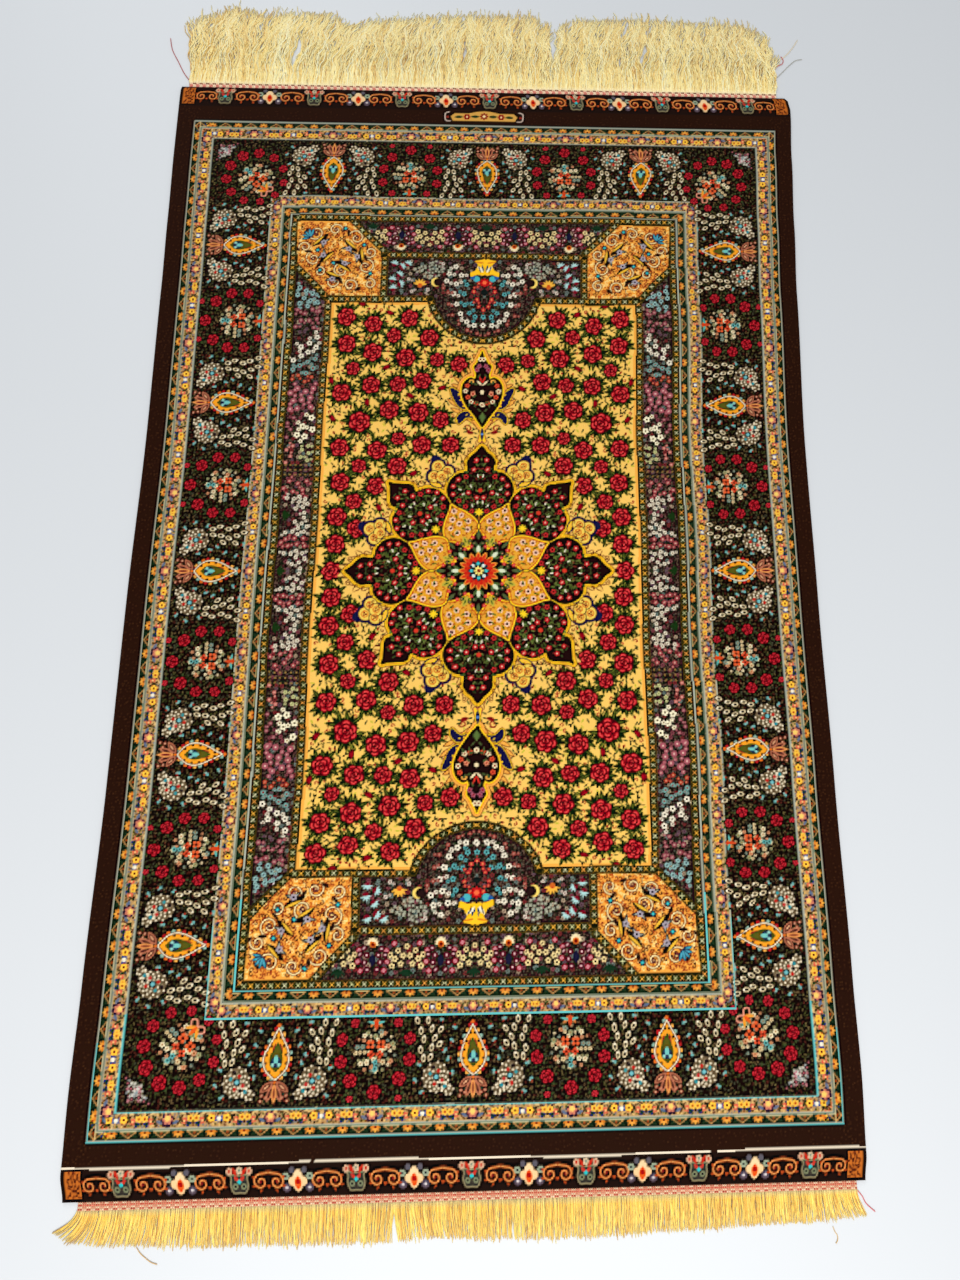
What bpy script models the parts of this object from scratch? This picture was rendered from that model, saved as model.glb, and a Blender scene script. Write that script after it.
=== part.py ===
"""A hand-knotted silk rug lying flat on a floor.

The cloth is one sheet: thick where it is knotted, with a thin flat-woven strip at each end, all
on the same warps. The warps leave each strip as a fringe, long and tangled at the far end, short
and combed at the near end. Metres, +Z up: X runs across the rug, Y along it towards the far end,
and the underside of every piece lies on z = 0.
"""

import math
from collections import namedtuple

import bmesh
import bpy

# Driving sizes
HALF_WIDTH = 0.395
HALF_LENGTH = 0.6445
PILE_THICK = 0.0030
PILE_ROLL = 0.0012
PILE_END_ROLL = 0.0006
STRIP_THICK = 0.0012
STRIP_ROLL = 0.0005
STRIP_DEPTH = 0.0080
STEP_RUN = 0.0010
PIECE_GAP = 0.0003

# The middle of the knotted cloth, seen from the middle of the whole rug with its fringes
CLOTH_MIDDLE_X = -0.0001
CLOTH_MIDDLE_Y = -0.0428

# The rug isn't square: its sides lean to the right, and its ends are turned the other way
SIDE_LEAN = math.tan(math.radians(0.90))
END_TURN = math.radians(0.745)
END_TURN_SPREAD = math.radians(0.255)

# How many rows and columns the cloth's mesh has
CLOTH_ROWS = 36
CLOTH_COLUMNS = 14

# How far each side edge lies to the right of a straight one, at places along the rug
Edge = namedtuple("Edge", "along left right")
EDGES = (
    Edge(-0.6445, 0.0000, -0.0040),
    Edge(-0.6200, -0.0045, -0.0010),
    Edge(-0.5500, -0.0054, 0.0005),
    Edge(-0.4500, -0.0038, -0.0013),
    Edge(-0.2500, -0.0008, -0.0045),
    Edge(-0.0500, -0.0010, -0.0074),
    Edge(0.1500, 0.0014, -0.0090),
    Edge(0.3500, 0.0000, -0.0048),
    Edge(0.4500, -0.0013, -0.0015),
    Edge(0.5500, -0.0025, 0.0020),
    Edge(0.6250, -0.0026, 0.0052),
    Edge(0.6390, -0.0024, 0.0030),
    Edge(0.6445, -0.0012, -0.0015),
)

# The flat-woven strip at each end, from its left side to its right side
FAR_STRIP = (-0.386, 0.384)
NEAR_STRIP = (-0.380, 0.386)

# The fringes: how long the warps are and how far their tips drift sideways, across the rug
Cut = namedtuple("Cut", "across reach drift")
FAR_CUTS = (
    Cut(-0.386, 0.100, -0.010),
    Cut(-0.372, 0.113, -0.006),
    Cut(-0.345, 0.127, 0.004),
    Cut(-0.300, 0.117, 0.010),
    Cut(-0.228, 0.120, 0.006),
    Cut(-0.205, 0.096, 0.002),
    Cut(-0.160, 0.108, 0.010),
    Cut(-0.088, 0.117, 0.008),
    Cut(0.040, 0.124, 0.006),
    Cut(0.068, 0.113, 0.004),
    Cut(0.082, 0.092, 0.000),
    Cut(0.098, 0.116, 0.002),
    Cut(0.173, 0.119, 0.006),
    Cut(0.320, 0.116, 0.004),
    Cut(0.350, 0.112, 0.000),
    Cut(0.370, 0.098, 0.002),
    Cut(0.384, 0.060, 0.007),
)
NEAR_CUTS = (
    Cut(-0.380, 0.020, -0.022),
    Cut(-0.372, 0.028, -0.016),
    Cut(-0.355, 0.032, -0.006),
    Cut(-0.256, 0.036, 0.001),
    Cut(-0.080, 0.037, 0.001),
    Cut(-0.052, 0.034, 0.004),
    Cut(0.100, 0.038, 0.000),
    Cut(0.207, 0.034, 0.000),
    Cut(0.330, 0.030, 0.001),
    Cut(0.386, 0.026, 0.008),
)

# Where the warps part and the floor shows: the place, the stretch of the warps and the width
Split = namedtuple("Split", "across start end width")
FAR_SPLITS = (
    Split(-0.306, 0.45, 1.30, 0.006),
    Split(-0.256, 0.22, 0.85, 0.008),
    Split(-0.168, 0.35, 0.75, 0.007),
    Split(-0.036, 0.30, 0.90, 0.008),
    Split(0.083, 0.35, 1.60, 0.012),
    Split(0.182, 0.40, 0.90, 0.006),
    Split(0.205, 0.30, 0.80, 0.007),
)
NEAR_SPLITS = (
    Split(-0.076, 0.30, 1.50, 0.006),
    Split(0.040, 0.40, 1.50, 0.002),
)
SPLIT_FADE = 0.022

# The combs: one tooth stands for a lock of warps
HEADING_DEPTH = 0.0020
FAR_TEETH = 60
FAR_TOOTH_STEPS = 5
FAR_FRINGE_THICK = 0.0026
FAR_WAVE = 0.0022
FAR_WAVES_ACROSS = 5.0
NEAR_TEETH = 84
NEAR_TOOTH_STEPS = 3
NEAR_FRINGE_THICK = 0.0020
NEAR_WAVE = 0.0004
NEAR_WAVES_ACROSS = 7.0
TOOTH_ROOT_SHARE = 0.84
TOOTH_TIP_SHARE = 0.50
UNEVEN_CUT = 0.05
UNEVEN_TURN = 2.4
SWING_TURN = 5.0


def ease_between(table, key, column, place):
    """The value in a column at this place, read smoothly between the table's rows."""
    rows = list(table)
    if place <= getattr(rows[0], key):
        return getattr(rows[0], column)
    for before, after in zip(rows, rows[1:]):
        start, end = getattr(before, key), getattr(after, key)
        if place <= end:
            share = (place - start) / (end - start)
            share = share * share * (3.0 - 2.0 * share)
            first, last = getattr(before, column), getattr(after, column)
            return first + (last - first) * share
    return getattr(rows[-1], column)


def on_floor(across, along):
    """Where a point of the squared-up rug lies on the floor."""
    left = ease_between(EDGES, "along", "left", along)
    right = ease_between(EDGES, "along", "right", along)
    share = 0.5 + 0.5 * across / HALF_WIDTH
    x = across + SIDE_LEAN * along + left * (1.0 - share) + right * share
    turn = END_TURN + END_TURN_SPREAD * along / HALF_LENGTH
    y = along + math.tan(turn) * x
    return CLOTH_MIDDLE_X + x, CLOTH_MIDDLE_Y + y


def cloth_material(name, colour, roughness):
    """A plain coloured finish for one kind of yarn."""
    material = bpy.data.materials.new(name)
    material.use_nodes = True
    shader = material.node_tree.nodes["Principled BSDF"]
    shader.inputs["Base Color"].default_value = (*colour, 1.0)
    shader.inputs["Roughness"].default_value = roughness
    shader.inputs["Metallic"].default_value = 0.0
    return material


def add_object(name, mesh_source, material):
    """Turns a finished bmesh into a named object with one material."""
    bmesh.ops.recalc_face_normals(mesh_source, faces=mesh_source.faces)
    mesh = bpy.data.meshes.new(name)
    mesh_source.to_mesh(mesh)
    mesh_source.free()
    mesh.materials.append(material)
    made = bpy.data.objects.new(name, mesh)
    bpy.context.scene.collection.objects.link(made)
    return made


def cross_section(left, right, thick, roll):
    """The cloth cut across: the underside from left to right, then the rolled top back again."""
    section = []
    for column in range(CLOTH_COLUMNS + 1):
        section.append((left + (right - left) * column / CLOTH_COLUMNS, 0.0))
    section.append((right, thick - roll))
    for column in range(CLOTH_COLUMNS + 1):
        inner_right, inner_left = right - roll, left + roll
        section.append((inner_right + (inner_left - inner_right) * column / CLOTH_COLUMNS, thick))
    section.append((left, thick - roll))
    return section


def cloth_rows():
    """Every row of the cloth from the near end to the far end: its place and its section."""
    near_strip = cross_section(*NEAR_STRIP, STRIP_THICK, STRIP_ROLL)
    far_strip = cross_section(*FAR_STRIP, STRIP_THICK, STRIP_ROLL)
    pile = cross_section(-HALF_WIDTH, HALF_WIDTH, PILE_THICK, PILE_ROLL)
    end_thick = PILE_THICK - PILE_ROLL
    pile_end = cross_section(-HALF_WIDTH, HALF_WIDTH, end_thick, PILE_END_ROLL)
    rows = [
        (-HALF_LENGTH - STRIP_DEPTH, near_strip),
        (-HALF_LENGTH - STEP_RUN, near_strip),
        (-HALF_LENGTH, pile_end),
    ]
    first, last = -HALF_LENGTH + PILE_ROLL, HALF_LENGTH - PILE_ROLL
    for row in range(CLOTH_ROWS + 1):
        rows.append((first + (last - first) * row / CLOTH_ROWS, pile))
    rows += [
        (HALF_LENGTH, pile_end),
        (HALF_LENGTH + STEP_RUN, far_strip),
        (HALF_LENGTH + STRIP_DEPTH, far_strip),
    ]
    return rows


def make_cloth(material):
    """The knotted cloth with its two flat-woven strips, as rings of points joined row to row."""
    made = bmesh.new()
    rings = []
    for along, section in cloth_rows():
        rings.append([made.verts.new((*on_floor(across, along), z)) for across, z in section])
    for ring, following in zip(rings, rings[1:]):
        for corner in range(len(ring)):
            beside = (corner + 1) % len(ring)
            made.faces.new((ring[corner], ring[beside], following[beside], following[corner]))
    made.faces.new(rings[0])
    made.faces.new(rings[-1])
    return add_object("knotted_cloth", made, material)


def split_push(splits, across, share):
    """How far the warps at this place are pushed aside by the splits near them."""
    push = 0.0
    for split in splits:
        if not split.start < share < split.end:
            continue
        opening = math.sin(math.pi * (share - split.start) / (split.end - split.start))
        away = across - split.across
        side = 1.0 if away > 0.0 else -1.0
        push += side * 0.5 * split.width * opening * math.exp(-abs(away) / SPLIT_FADE)
    return push


def make_fringe(name, end, strip, cuts, splits, teeth, steps, wave, waves_across, thick, material):
    """One comb: a narrow heading along the strip with a tooth for each lock of warps."""
    left, right = strip
    root = HALF_LENGTH + STRIP_DEPTH + PIECE_GAP
    crotch = root + HEADING_DEPTH
    pitch = (right - left) / teeth

    def tooth_point(number, side, step):
        middle = left + pitch * (number + 0.5)
        share = step / steps
        uneven = 1.0 - UNEVEN_CUT * (0.5 + 0.5 * math.sin(UNEVEN_TURN * number))
        reach = ease_between(cuts, "across", "reach", middle) * uneven
        drift = ease_between(cuts, "across", "drift", middle)
        phase = waves_across * math.tau * middle + SWING_TURN * share
        swing = wave * math.sin(phase) * share
        half = 0.5 * pitch * (TOOTH_ROOT_SHARE + (TOOTH_TIP_SHARE - TOOTH_ROOT_SHARE) * share)
        sideways = drift * share * share + swing + split_push(splits, middle, share)
        across = middle + side * half + sideways
        along = crotch + (reach - HEADING_DEPTH) * share
        return on_floor(across, end * along)

    outline = [on_floor(left, end * root), on_floor(right, end * root)]
    for number in reversed(range(teeth)):
        outline += [tooth_point(number, 1.0, step) for step in range(steps + 1)]
        outline += [tooth_point(number, -1.0, step) for step in reversed(range(steps + 1))]
    made = bmesh.new()
    underside = made.faces.new([made.verts.new((x, y, 0.0)) for x, y in outline])
    raised = bmesh.ops.extrude_face_region(made, geom=[underside])
    top = [item for item in raised["geom"] if isinstance(item, bmesh.types.BMVert)]
    bmesh.ops.translate(made, verts=top, vec=(0.0, 0.0, thick))
    return add_object(name, made, material)


def main():
    for old in list(bpy.data.objects):
        bpy.data.objects.remove(old)
    pile_silk = cloth_material("silk_pile", (0.115, 0.070, 0.040), 0.62)
    warp_silk = cloth_material("silk_warp", (0.780, 0.560, 0.220), 0.55)
    make_cloth(pile_silk)
    make_fringe(
        "fringe_far", 1.0, FAR_STRIP, FAR_CUTS, FAR_SPLITS, FAR_TEETH, FAR_TOOTH_STEPS,
        FAR_WAVE, FAR_WAVES_ACROSS, FAR_FRINGE_THICK, warp_silk,
    )
    make_fringe(
        "fringe_near", -1.0, NEAR_STRIP, NEAR_CUTS, NEAR_SPLITS, NEAR_TEETH, NEAR_TOOTH_STEPS,
        NEAR_WAVE, NEAR_WAVES_ACROSS, NEAR_FRINGE_THICK, warp_silk,
    )


main()
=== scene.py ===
import cmath
import math

import bpy
import numpy as np
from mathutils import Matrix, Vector


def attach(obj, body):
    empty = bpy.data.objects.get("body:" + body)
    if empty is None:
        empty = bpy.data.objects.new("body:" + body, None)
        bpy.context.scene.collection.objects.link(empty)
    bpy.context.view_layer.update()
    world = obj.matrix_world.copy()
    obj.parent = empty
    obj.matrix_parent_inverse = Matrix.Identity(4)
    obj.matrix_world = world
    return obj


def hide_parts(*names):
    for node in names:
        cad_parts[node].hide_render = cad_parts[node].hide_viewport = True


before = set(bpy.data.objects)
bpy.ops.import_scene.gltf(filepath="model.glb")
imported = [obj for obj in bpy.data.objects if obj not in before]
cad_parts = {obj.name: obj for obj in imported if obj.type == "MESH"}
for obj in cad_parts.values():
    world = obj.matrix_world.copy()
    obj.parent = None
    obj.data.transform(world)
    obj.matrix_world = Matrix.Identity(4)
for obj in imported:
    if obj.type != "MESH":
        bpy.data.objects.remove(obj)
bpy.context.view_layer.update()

bpy.ops.object.select_all(action="DESELECT")
bpy.context.scene.view_settings.view_transform = "Standard"

# The camera looks down on the rug from above its near half, a little left of its middle, as a
# phone held in the hand does.
CAMERA_PLACE = (-0.0457, -0.3595, 0.9687)
CAMERA_TURN = (13.14, -2.488, -0.111)
FILM_HEIGHT = 36.0
FOCAL_LENGTH = 24.95
bpy.ops.object.camera_add(location=CAMERA_PLACE, rotation=[math.radians(turn) for turn in CAMERA_TURN])
camera = bpy.context.object
camera.data.sensor_fit = "VERTICAL"
camera.data.sensor_height = FILM_HEIGHT
camera.data.lens = FOCAL_LENGTH
bpy.context.scene.camera = camera


# Daylight comes in beyond the far end and glances off the silk there. A wide soft light overhead
# and a pale sky fill the rest.
def add_soft_light(name, place, aim, size, power, colour):
    """A square area light at a place, turned towards a point."""
    turn = (Vector(aim) - Vector(place)).to_track_quat("-Z", "Y").to_euler()
    bpy.ops.object.light_add(type="AREA", location=place, rotation=turn)
    light = bpy.context.object
    light.name = name
    light.data.size = size
    light.data.energy = power
    light.data.color = colour


add_soft_light("window", (-0.9, 2.9, 2.2), (0.0, 0.3, 0.0), 1.8, 31.0, (0.95, 0.98, 1.0))
add_soft_light("ceiling", (0.1, -1.7, 2.1), (-0.1, -0.4, 0.0), 2.0, 60.0, (1.0, 0.985, 0.96))
sky = bpy.data.worlds.new("sky")
sky.use_nodes = True
sky.node_tree.nodes["Background"].inputs["Color"].default_value = (0.93, 0.96, 1.0, 1.0)
sky.node_tree.nodes["Background"].inputs["Strength"].default_value = 0.48
bpy.context.scene.world = sky


# Shader arithmetic: an expression on sockets adds its Math nodes, and every other node comes from
# the one method of the finish that it belongs to.
class Wire:
    """A socket of a finish, with the sums that are made on it."""

    def __init__(self, finish, socket):
        self.finish = finish
        self.socket = socket

    def sum(self, operation, first, second=0.0):
        return self.finish.node("ShaderNodeMath", {"operation": operation}, {0: first, 1: second})

    def __add__(self, other):
        return self.sum("ADD", self, other)

    def __mul__(self, other):
        return self.sum("MULTIPLY", self, other)

    __radd__ = __add__
    __rmul__ = __mul__

    def sine(self):
        return self.sum("SINE", self)


class Finish:
    """A material that is built up node by node around one shader."""

    def __init__(self, name, settings):
        self.material = bpy.data.materials.new(name)
        self.material.use_nodes = True
        self.tree = self.material.node_tree
        self.shader = self.tree.nodes["Principled BSDF"]
        self.feed(self.shader, settings)

    def feed(self, node, sockets):
        for socket, value in sockets.items():
            if isinstance(value, Wire):
                self.tree.links.new(value.socket, node.inputs[socket])
            else:
                node.inputs[socket].default_value = value

    def node(self, kind, settings, sockets, output=0):
        made = self.tree.nodes.new(kind)
        for setting, value in settings.items():
            setattr(made, setting, value)
        self.feed(made, sockets)
        return Wire(self, made.outputs[output])

    def place(self):
        return self.node("ShaderNodeTexCoord", {}, {}, "Object")

    def noise(self, scale, detail=2.0, vector=None):
        sockets = {"Vector": vector or self.place(), "Scale": scale, "Detail": detail}
        return self.node("ShaderNodeTexNoise", {}, sockets, "Fac")

    def tint(self, colour, amount):
        """A colour made lighter or darker by an amount around 1."""
        grey = self.node("ShaderNodeCombineColor", {}, {0: amount, 1: amount, 2: amount})
        settings = {"data_type": "RGBA", "blend_type": "MULTIPLY"}
        return self.node("ShaderNodeMix", settings, {0: 1.0, 6: colour, 7: grey}, 2)


# The floor is a plain pale slab, and no part of the rug.
FLOOR_SIZE = 7.0
FLOOR_DEPTH = 0.0004
bpy.ops.mesh.primitive_plane_add(size=FLOOR_SIZE, location=(0.0, 0.0, -FLOOR_DEPTH))
floor = bpy.context.object
floor.name = "floor"
slab = Finish("pale_slab", {"Roughness": 0.45, "Base Color": (0.66, 0.68, 0.70, 1.0)})
floor.data.materials.append(slab.material)

# The field: the gold ground of the pile with its roses and the medallion. It is knotted in silk on
# the same foundation as everything around it, and shorn to one height. Here too are the sizes of
# the whole cloth, which lies a little askew, and the tools with which every design is drawn. SIDE
# and END are the half sizes in millimetres, as on the charts, and the others are in metres.
SIDE = 395.0
END = 644.5
HALF_WIDTH = SIDE / 1000.0
HALF_LENGTH = END / 1000.0
PILE_TOP = 0.0030
CLOTH_MIDDLE = (-0.0001, -0.0428)
SIDE_LEAN = math.tan(math.radians(0.90))
END_TURN = math.radians(0.745)
END_TURN_SPREAD = math.radians(0.255)

# How far each side edge lies to the right of a straight one, in metres: along, left, right
EDGES = (
    (-0.6445, 0.0000, -0.0040),
    (-0.6200, -0.0045, -0.0010),
    (-0.5500, -0.0054, 0.0005),
    (-0.4500, -0.0038, -0.0013),
    (-0.2500, -0.0008, -0.0045),
    (-0.0500, -0.0010, -0.0074),
    (0.1500, 0.0014, -0.0090),
    (0.3500, 0.0000, -0.0048),
    (0.4500, -0.0013, -0.0015),
    (0.5500, -0.0025, 0.0020),
    (0.6250, -0.0026, 0.0052),
    (0.6390, -0.0024, 0.0030),
    (0.6445, -0.0012, -0.0015),
)


def read_smoothly(table, place):
    """The other columns of a table at these places, eased from row to row."""
    table = np.array(table)
    places = table[:, 0]
    place = np.clip(place, places[0], places[-1])
    row = np.clip(np.searchsorted(places, place) - 1, 0, len(places) - 2)
    share = (place - places[row]) / (places[row + 1] - places[row])
    share = share * share * (3.0 - 2.0 * share)
    return [column[row] + (column[row + 1] - column[row]) * share for column in table.T[1:]]


def on_floor(across, along):
    """Where points of the squared-up rug lie on the floor, in metres."""
    left, right = read_smoothly(EDGES, along)
    share = 0.5 + 0.5 * across / HALF_WIDTH
    x = across + SIDE_LEAN * along + left * (1.0 - share) + right * share
    y = along + np.tan(END_TURN + END_TURN_SPREAD * along / HALF_LENGTH) * x
    return CLOTH_MIDDLE[0] + x, CLOTH_MIDDLE[1] + y


CHART_STEP = 0.5


class Chart:
    """A weaver's chart in millimetres: one colour for every half millimetre."""

    def __init__(self, low, high, ground):
        self.low = low
        columns, rows = (round((end - start) / CHART_STEP) for start, end in zip(low, high))
        self.colours = np.empty((rows, columns, 3), np.float32)
        self.colours[:] = np.array(ground) / 255.0

    def fill(self, low, high, colour):
        """Colours a rectangle."""
        first = [max(0, round((a - b) / CHART_STEP)) for a, b in zip(low, self.low)]
        last = [max(0, round((a - b) / CHART_STEP)) for a, b in zip(high, self.low)]
        self.colours[first[1] : last[1], first[0] : last[0]] = np.array(colour) / 255.0

    def frame(self, outer, inner, colour):
        """Colours the quarter of a frame between two half sizes."""
        self.fill((inner[0], 0.0), outer, colour)
        self.fill((0.0, inner[1]), outer, colour)


class Needle:
    """Draws on a chart from a place, turn and size of its own.

    A point is one complex number, across + along * 1j, and the frame may be flipped left to right.
    """

    def __init__(self, chart, origin=0.0, factor=1.0, flipped=False):
        self.chart = chart
        self.origin = origin
        self.factor = factor
        self.flipped = flipped

    def spot(self, point):
        point = complex(point)
        return self.origin + self.factor * (-point.conjugate() if self.flipped else point)

    def at(self, place, turn=0.0, size=1.0, flip=False):
        """A needle at a place in this one's frame, turned by some degrees."""
        factor = size * cmath.rect(1.0, math.radians(turn))
        if self.flipped:
            factor = factor.conjugate()
        return Needle(self.chart, self.spot(place), self.factor * factor, self.flipped != flip)

    def both(self):
        """This needle and its mirror image."""
        return self, self.at(0.0, flip=True)

    def lay(self, centre, reach, distance, colour):
        """Colours where distance, given for points of this frame, is below nought."""
        chart, size = self.chart, abs(self.factor)
        middle, span = self.spot(centre), reach * size + CHART_STEP
        rows, columns = chart.colours.shape[:2]
        left = max(0, math.floor((middle.real - span - chart.low[0]) / CHART_STEP))
        right = min(columns, math.ceil((middle.real + span - chart.low[0]) / CHART_STEP))
        near = max(0, math.floor((middle.imag - span - chart.low[1]) / CHART_STEP))
        far = min(rows, math.ceil((middle.imag + span - chart.low[1]) / CHART_STEP))
        if left >= right or near >= far:
            return
        across = chart.low[0] + (np.arange(left, right) + 0.5) * CHART_STEP
        along = chart.low[1] + (np.arange(near, far) + 0.5) * CHART_STEP
        point = (across + along[:, None] * 1j - self.origin) / self.factor
        if self.flipped:
            point = -point.conjugate()
        cover = np.clip(0.5 - distance(point) * size / CHART_STEP, 0.0, 1.0)[..., None]
        patch = chart.colours[near:far, left:right]
        patch += (cover * (np.array(colour) / 255.0 - patch)).astype(np.float32)

    def disc(self, centre, radius, colour):
        self.lay(centre, radius, lambda point: abs(point - centre) - radius, colour)

    def ring(self, centre, radius, width, colour):
        half = 0.5 * width
        self.lay(centre, radius + half, lambda point: abs(abs(point - centre) - radius) - half, colour)

    def leaf(self, start, end, width, colour):
        """A pointed leaf between two points."""
        axis, middle = end - start, 0.5 * (start + end)
        half, rise = 0.5 * abs(axis), 0.5 * width
        bow = (half * half + rise * rise) / (2.0 * rise)

        def distance(point):
            local = (point - middle) * axis.conjugate() / (2.0 * half)
            return np.hypot(local.real, abs(local.imag) + bow - rise) - bow

        self.lay(middle, half, distance, colour)

    def line(self, points, width, colour):
        """A stroke through some points."""
        pairs = list(zip(points, points[1:]))
        middle = sum(points) / len(points)

        def distance(point):
            nearest = np.full(point.shape, np.inf)
            for start, end in pairs:
                axis, away = end - start, point - start
                share = np.clip((away * axis.conjugate()).real / abs(axis) ** 2, 0.0, 1.0)
                nearest = np.minimum(nearest, abs(away - axis * share))
            return nearest - 0.5 * width

        reach = max(abs(point - middle) for point in points) + 0.5 * width
        self.lay(middle, reach, distance, colour)

    def shape(self, points, colour, grow=0.0):
        """A filled outline, which may be grown or shrunk."""
        middle = sum(points) / len(points)

        def distance(point):
            nearest = np.full(point.shape, np.inf)
            side = np.ones(point.shape)
            for start, end in zip(points, points[1:] + points[:1]):
                axis, away = end - start, point - start
                share = np.clip((away * axis.conjugate()).real / abs(axis) ** 2, 0.0, 1.0)
                nearest = np.minimum(nearest, abs(away - axis * share))
                past = point.imag >= start.imag
                short = point.imag < end.imag
                left = (axis.conjugate() * away).imag > 0.0
                side[(past & short & left) | ~(past | short | left)] *= -1.0
            return nearest * side - grow

        reach = max(abs(point - middle) for point in points) + max(grow, 0.0)
        self.lay(middle, reach, distance, colour)

    def petals(self, centre, radius, count, notch, colour, turn=0.0):
        """A round flower with scalloped edges."""

        def distance(point):
            away = point - centre
            wave = abs(np.cos(0.5 * count * (np.angle(away) - math.radians(turn))))
            return abs(away) - radius * (1.0 - notch + notch * wave)

        self.lay(centre, radius, distance, colour)

    def blossom(self, centre, radius, count, colour, core, turn=0.0):
        """A small open flower: separate petals around a core."""
        for number in range(count):
            way = cmath.rect(0.62 * radius, math.radians(turn) + math.tau * number / count)
            self.disc(centre + way, 0.40 * radius, colour)
        self.disc(centre, 0.30 * radius, core)


def keep_inside(outline, before):
    """Puts back what was on the chart before, wherever it is outside an outline."""
    mask = Chart(WORK_LOW, WORK_HIGH, (0, 0, 0))
    Needle(mask).shape(outline, (255, 255, 255))
    chart.colours = before + mask.colours * (chart.colours - before)


def smooth(points, closed=False, steps=5):
    """A curve through some points, as more points."""
    points = [complex(point) for point in points]
    count = len(points)
    made = []
    for number in range(count if closed else count - 1):
        if closed:
            a, b, c, d = (points[(number + shift) % count] for shift in (-1, 0, 1, 2))
        else:
            picks = (max(number - 1, 0), number, number + 1, min(number + 2, count - 1))
            a, b, c, d = (points[pick] for pick in picks)
        for step in range(steps):
            t = step / steps
            bend = (2 * a - 5 * b + 4 * c - d) * t * t + (3 * (b - c) + d - a) * t**3
            made.append(0.5 * (2 * b + (c - a) * t + bend))
    return made if closed else made + [points[-1]]


def mirrored(half):
    """A closed outline from its right half, which runs from the bottom to the top."""
    half = [complex(*point) for point in half]
    inner = [point for point in half if point.real > 0.0]
    return half + [-point.conjugate() for point in reversed(inner)]


def spiral(radius, turns, start=0.0, steps=14):
    """Points that wind inwards around nought."""
    made = []
    for step in range(steps + 1):
        share = step / steps
        angle = math.radians(start) + math.tau * turns * share
        made.append(cmath.rect(radius * (1.0 - 0.82 * share), angle))
    return made


def scatter(low, high, pitch):
    """Points on a loose grid over a rectangle."""
    made = []
    for v in np.arange(low[1], high[1], pitch):
        for u in np.arange(low[0], high[0], pitch):
            du, dv = draw.uniform(-0.38, 0.38, 2) * pitch
            made.append(complex(u + du, v + dv))
    return made


WORK_LOW = (0.0, 0.0)
WORK_HIGH = (400.0, 654.0)
NEAR_BLACK = (34, 18, 16)
chart = Chart(WORK_LOW, WORK_HIGH, NEAR_BLACK)
pen = Needle(chart)
draw = np.random.default_rng(12)

FIELD = (188.0, 336.0)
LUNETTE_MIDDLE = 355.7j
LUNETTE_RADIUS = 72.7
GOLD = (243, 200, 114)
GOLD_PALE = (206, 190, 84)
GOLD_EDGE = (242, 178, 88)
YELLOW = (252, 214, 50)
ORANGE_LINE = (206, 104, 36)
LEAF_DARK = (18, 38, 14)
LEAF_GREEN = (62, 84, 48)
LEAF_LIGHT = (112, 126, 48)
ROSE_DARK = (78, 0, 18)
ROSE_RED = (168, 16, 40)
ROSE_LIGHT = (240, 92, 92)
SPRIG_RED = (150, 30, 34)
BROWN = (120, 66, 34)
CREAM = (236, 220, 182)
SOFT_WHITE = (242, 234, 214)
NAVY = (30, 30, 78)
TURQUOISE = (78, 196, 200)

# Roses of the field's quarter: across, along, radius, all in millimetres
ROSES = (
    (169, 318, 11.5), (136, 309, 11), (91, 316, 11), (66, 291, 11.5), (167, 284, 11.5),
    (135, 273, 12), (94, 266, 12), (29, 257, 10.5), (134, 231, 11.5), (73, 236, 11.5),
    (169, 221, 12), (145, 183, 13.5), (111, 199, 12), (76, 196, 12.5), (49, 187, 10.5),
    (167, 150, 11.5), (123, 148, 11.5), (71, 155, 11.5), (37, 155, 10.5), (99, 128, 11.5),
    (165, 107, 11.5), (123, 103, 11), (148, 83, 10), (167, 64, 11.5), (144, 50, 11),
    (167, 31, 11.5), (169, 0, 11.5),
    (110, 294, 9.5), (56, 263, 9), (157, 252, 8.5), (102, 232, 10), (99, 163, 8.5),
    (144, 127, 9),
)

# Rosebuds between them: across, along, turn in degrees
BUDS = (
    (115, 323, 20), (116, 254, -30), (48, 227, -20), (138, 208, 80), (177, 187, 50),
    (79, 119, -35), (118, 76, 60), (182, 236, 75), (150, 335, 10), (86, 217, 30),
)


def rosette_of_leaves(needle, tufts, reach):
    """Tufts of pointed dark leaves that stick out behind a rose, each like a small hand."""
    for number in range(tufts):
        turn = 360.0 * (number + draw.uniform(-0.2, 0.2)) / tufts
        root = cmath.rect(0.62, math.radians(turn))
        fingers = []
        for side, length in ((-54, 0.66), (-20, 1.0), (14, 0.82), (48, 0.94)):
            span = (reach - 0.62) * length * draw.uniform(0.78, 1.06)
            fingers.append(cmath.rect(span, math.radians(turn + side)))
        for finger in fingers:
            needle.leaf(root - 0.1 * finger, root + 1.05 * finger, 0.42, GOLD_PALE)
        for finger in fingers:
            needle.leaf(root - 0.1 * finger, root + finger, 0.37, LEAF_DARK)
        for finger in fingers[1::2]:
            needle.leaf(root + 0.25 * finger, root + 0.8 * finger, 0.10, LEAF_LIGHT)


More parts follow.
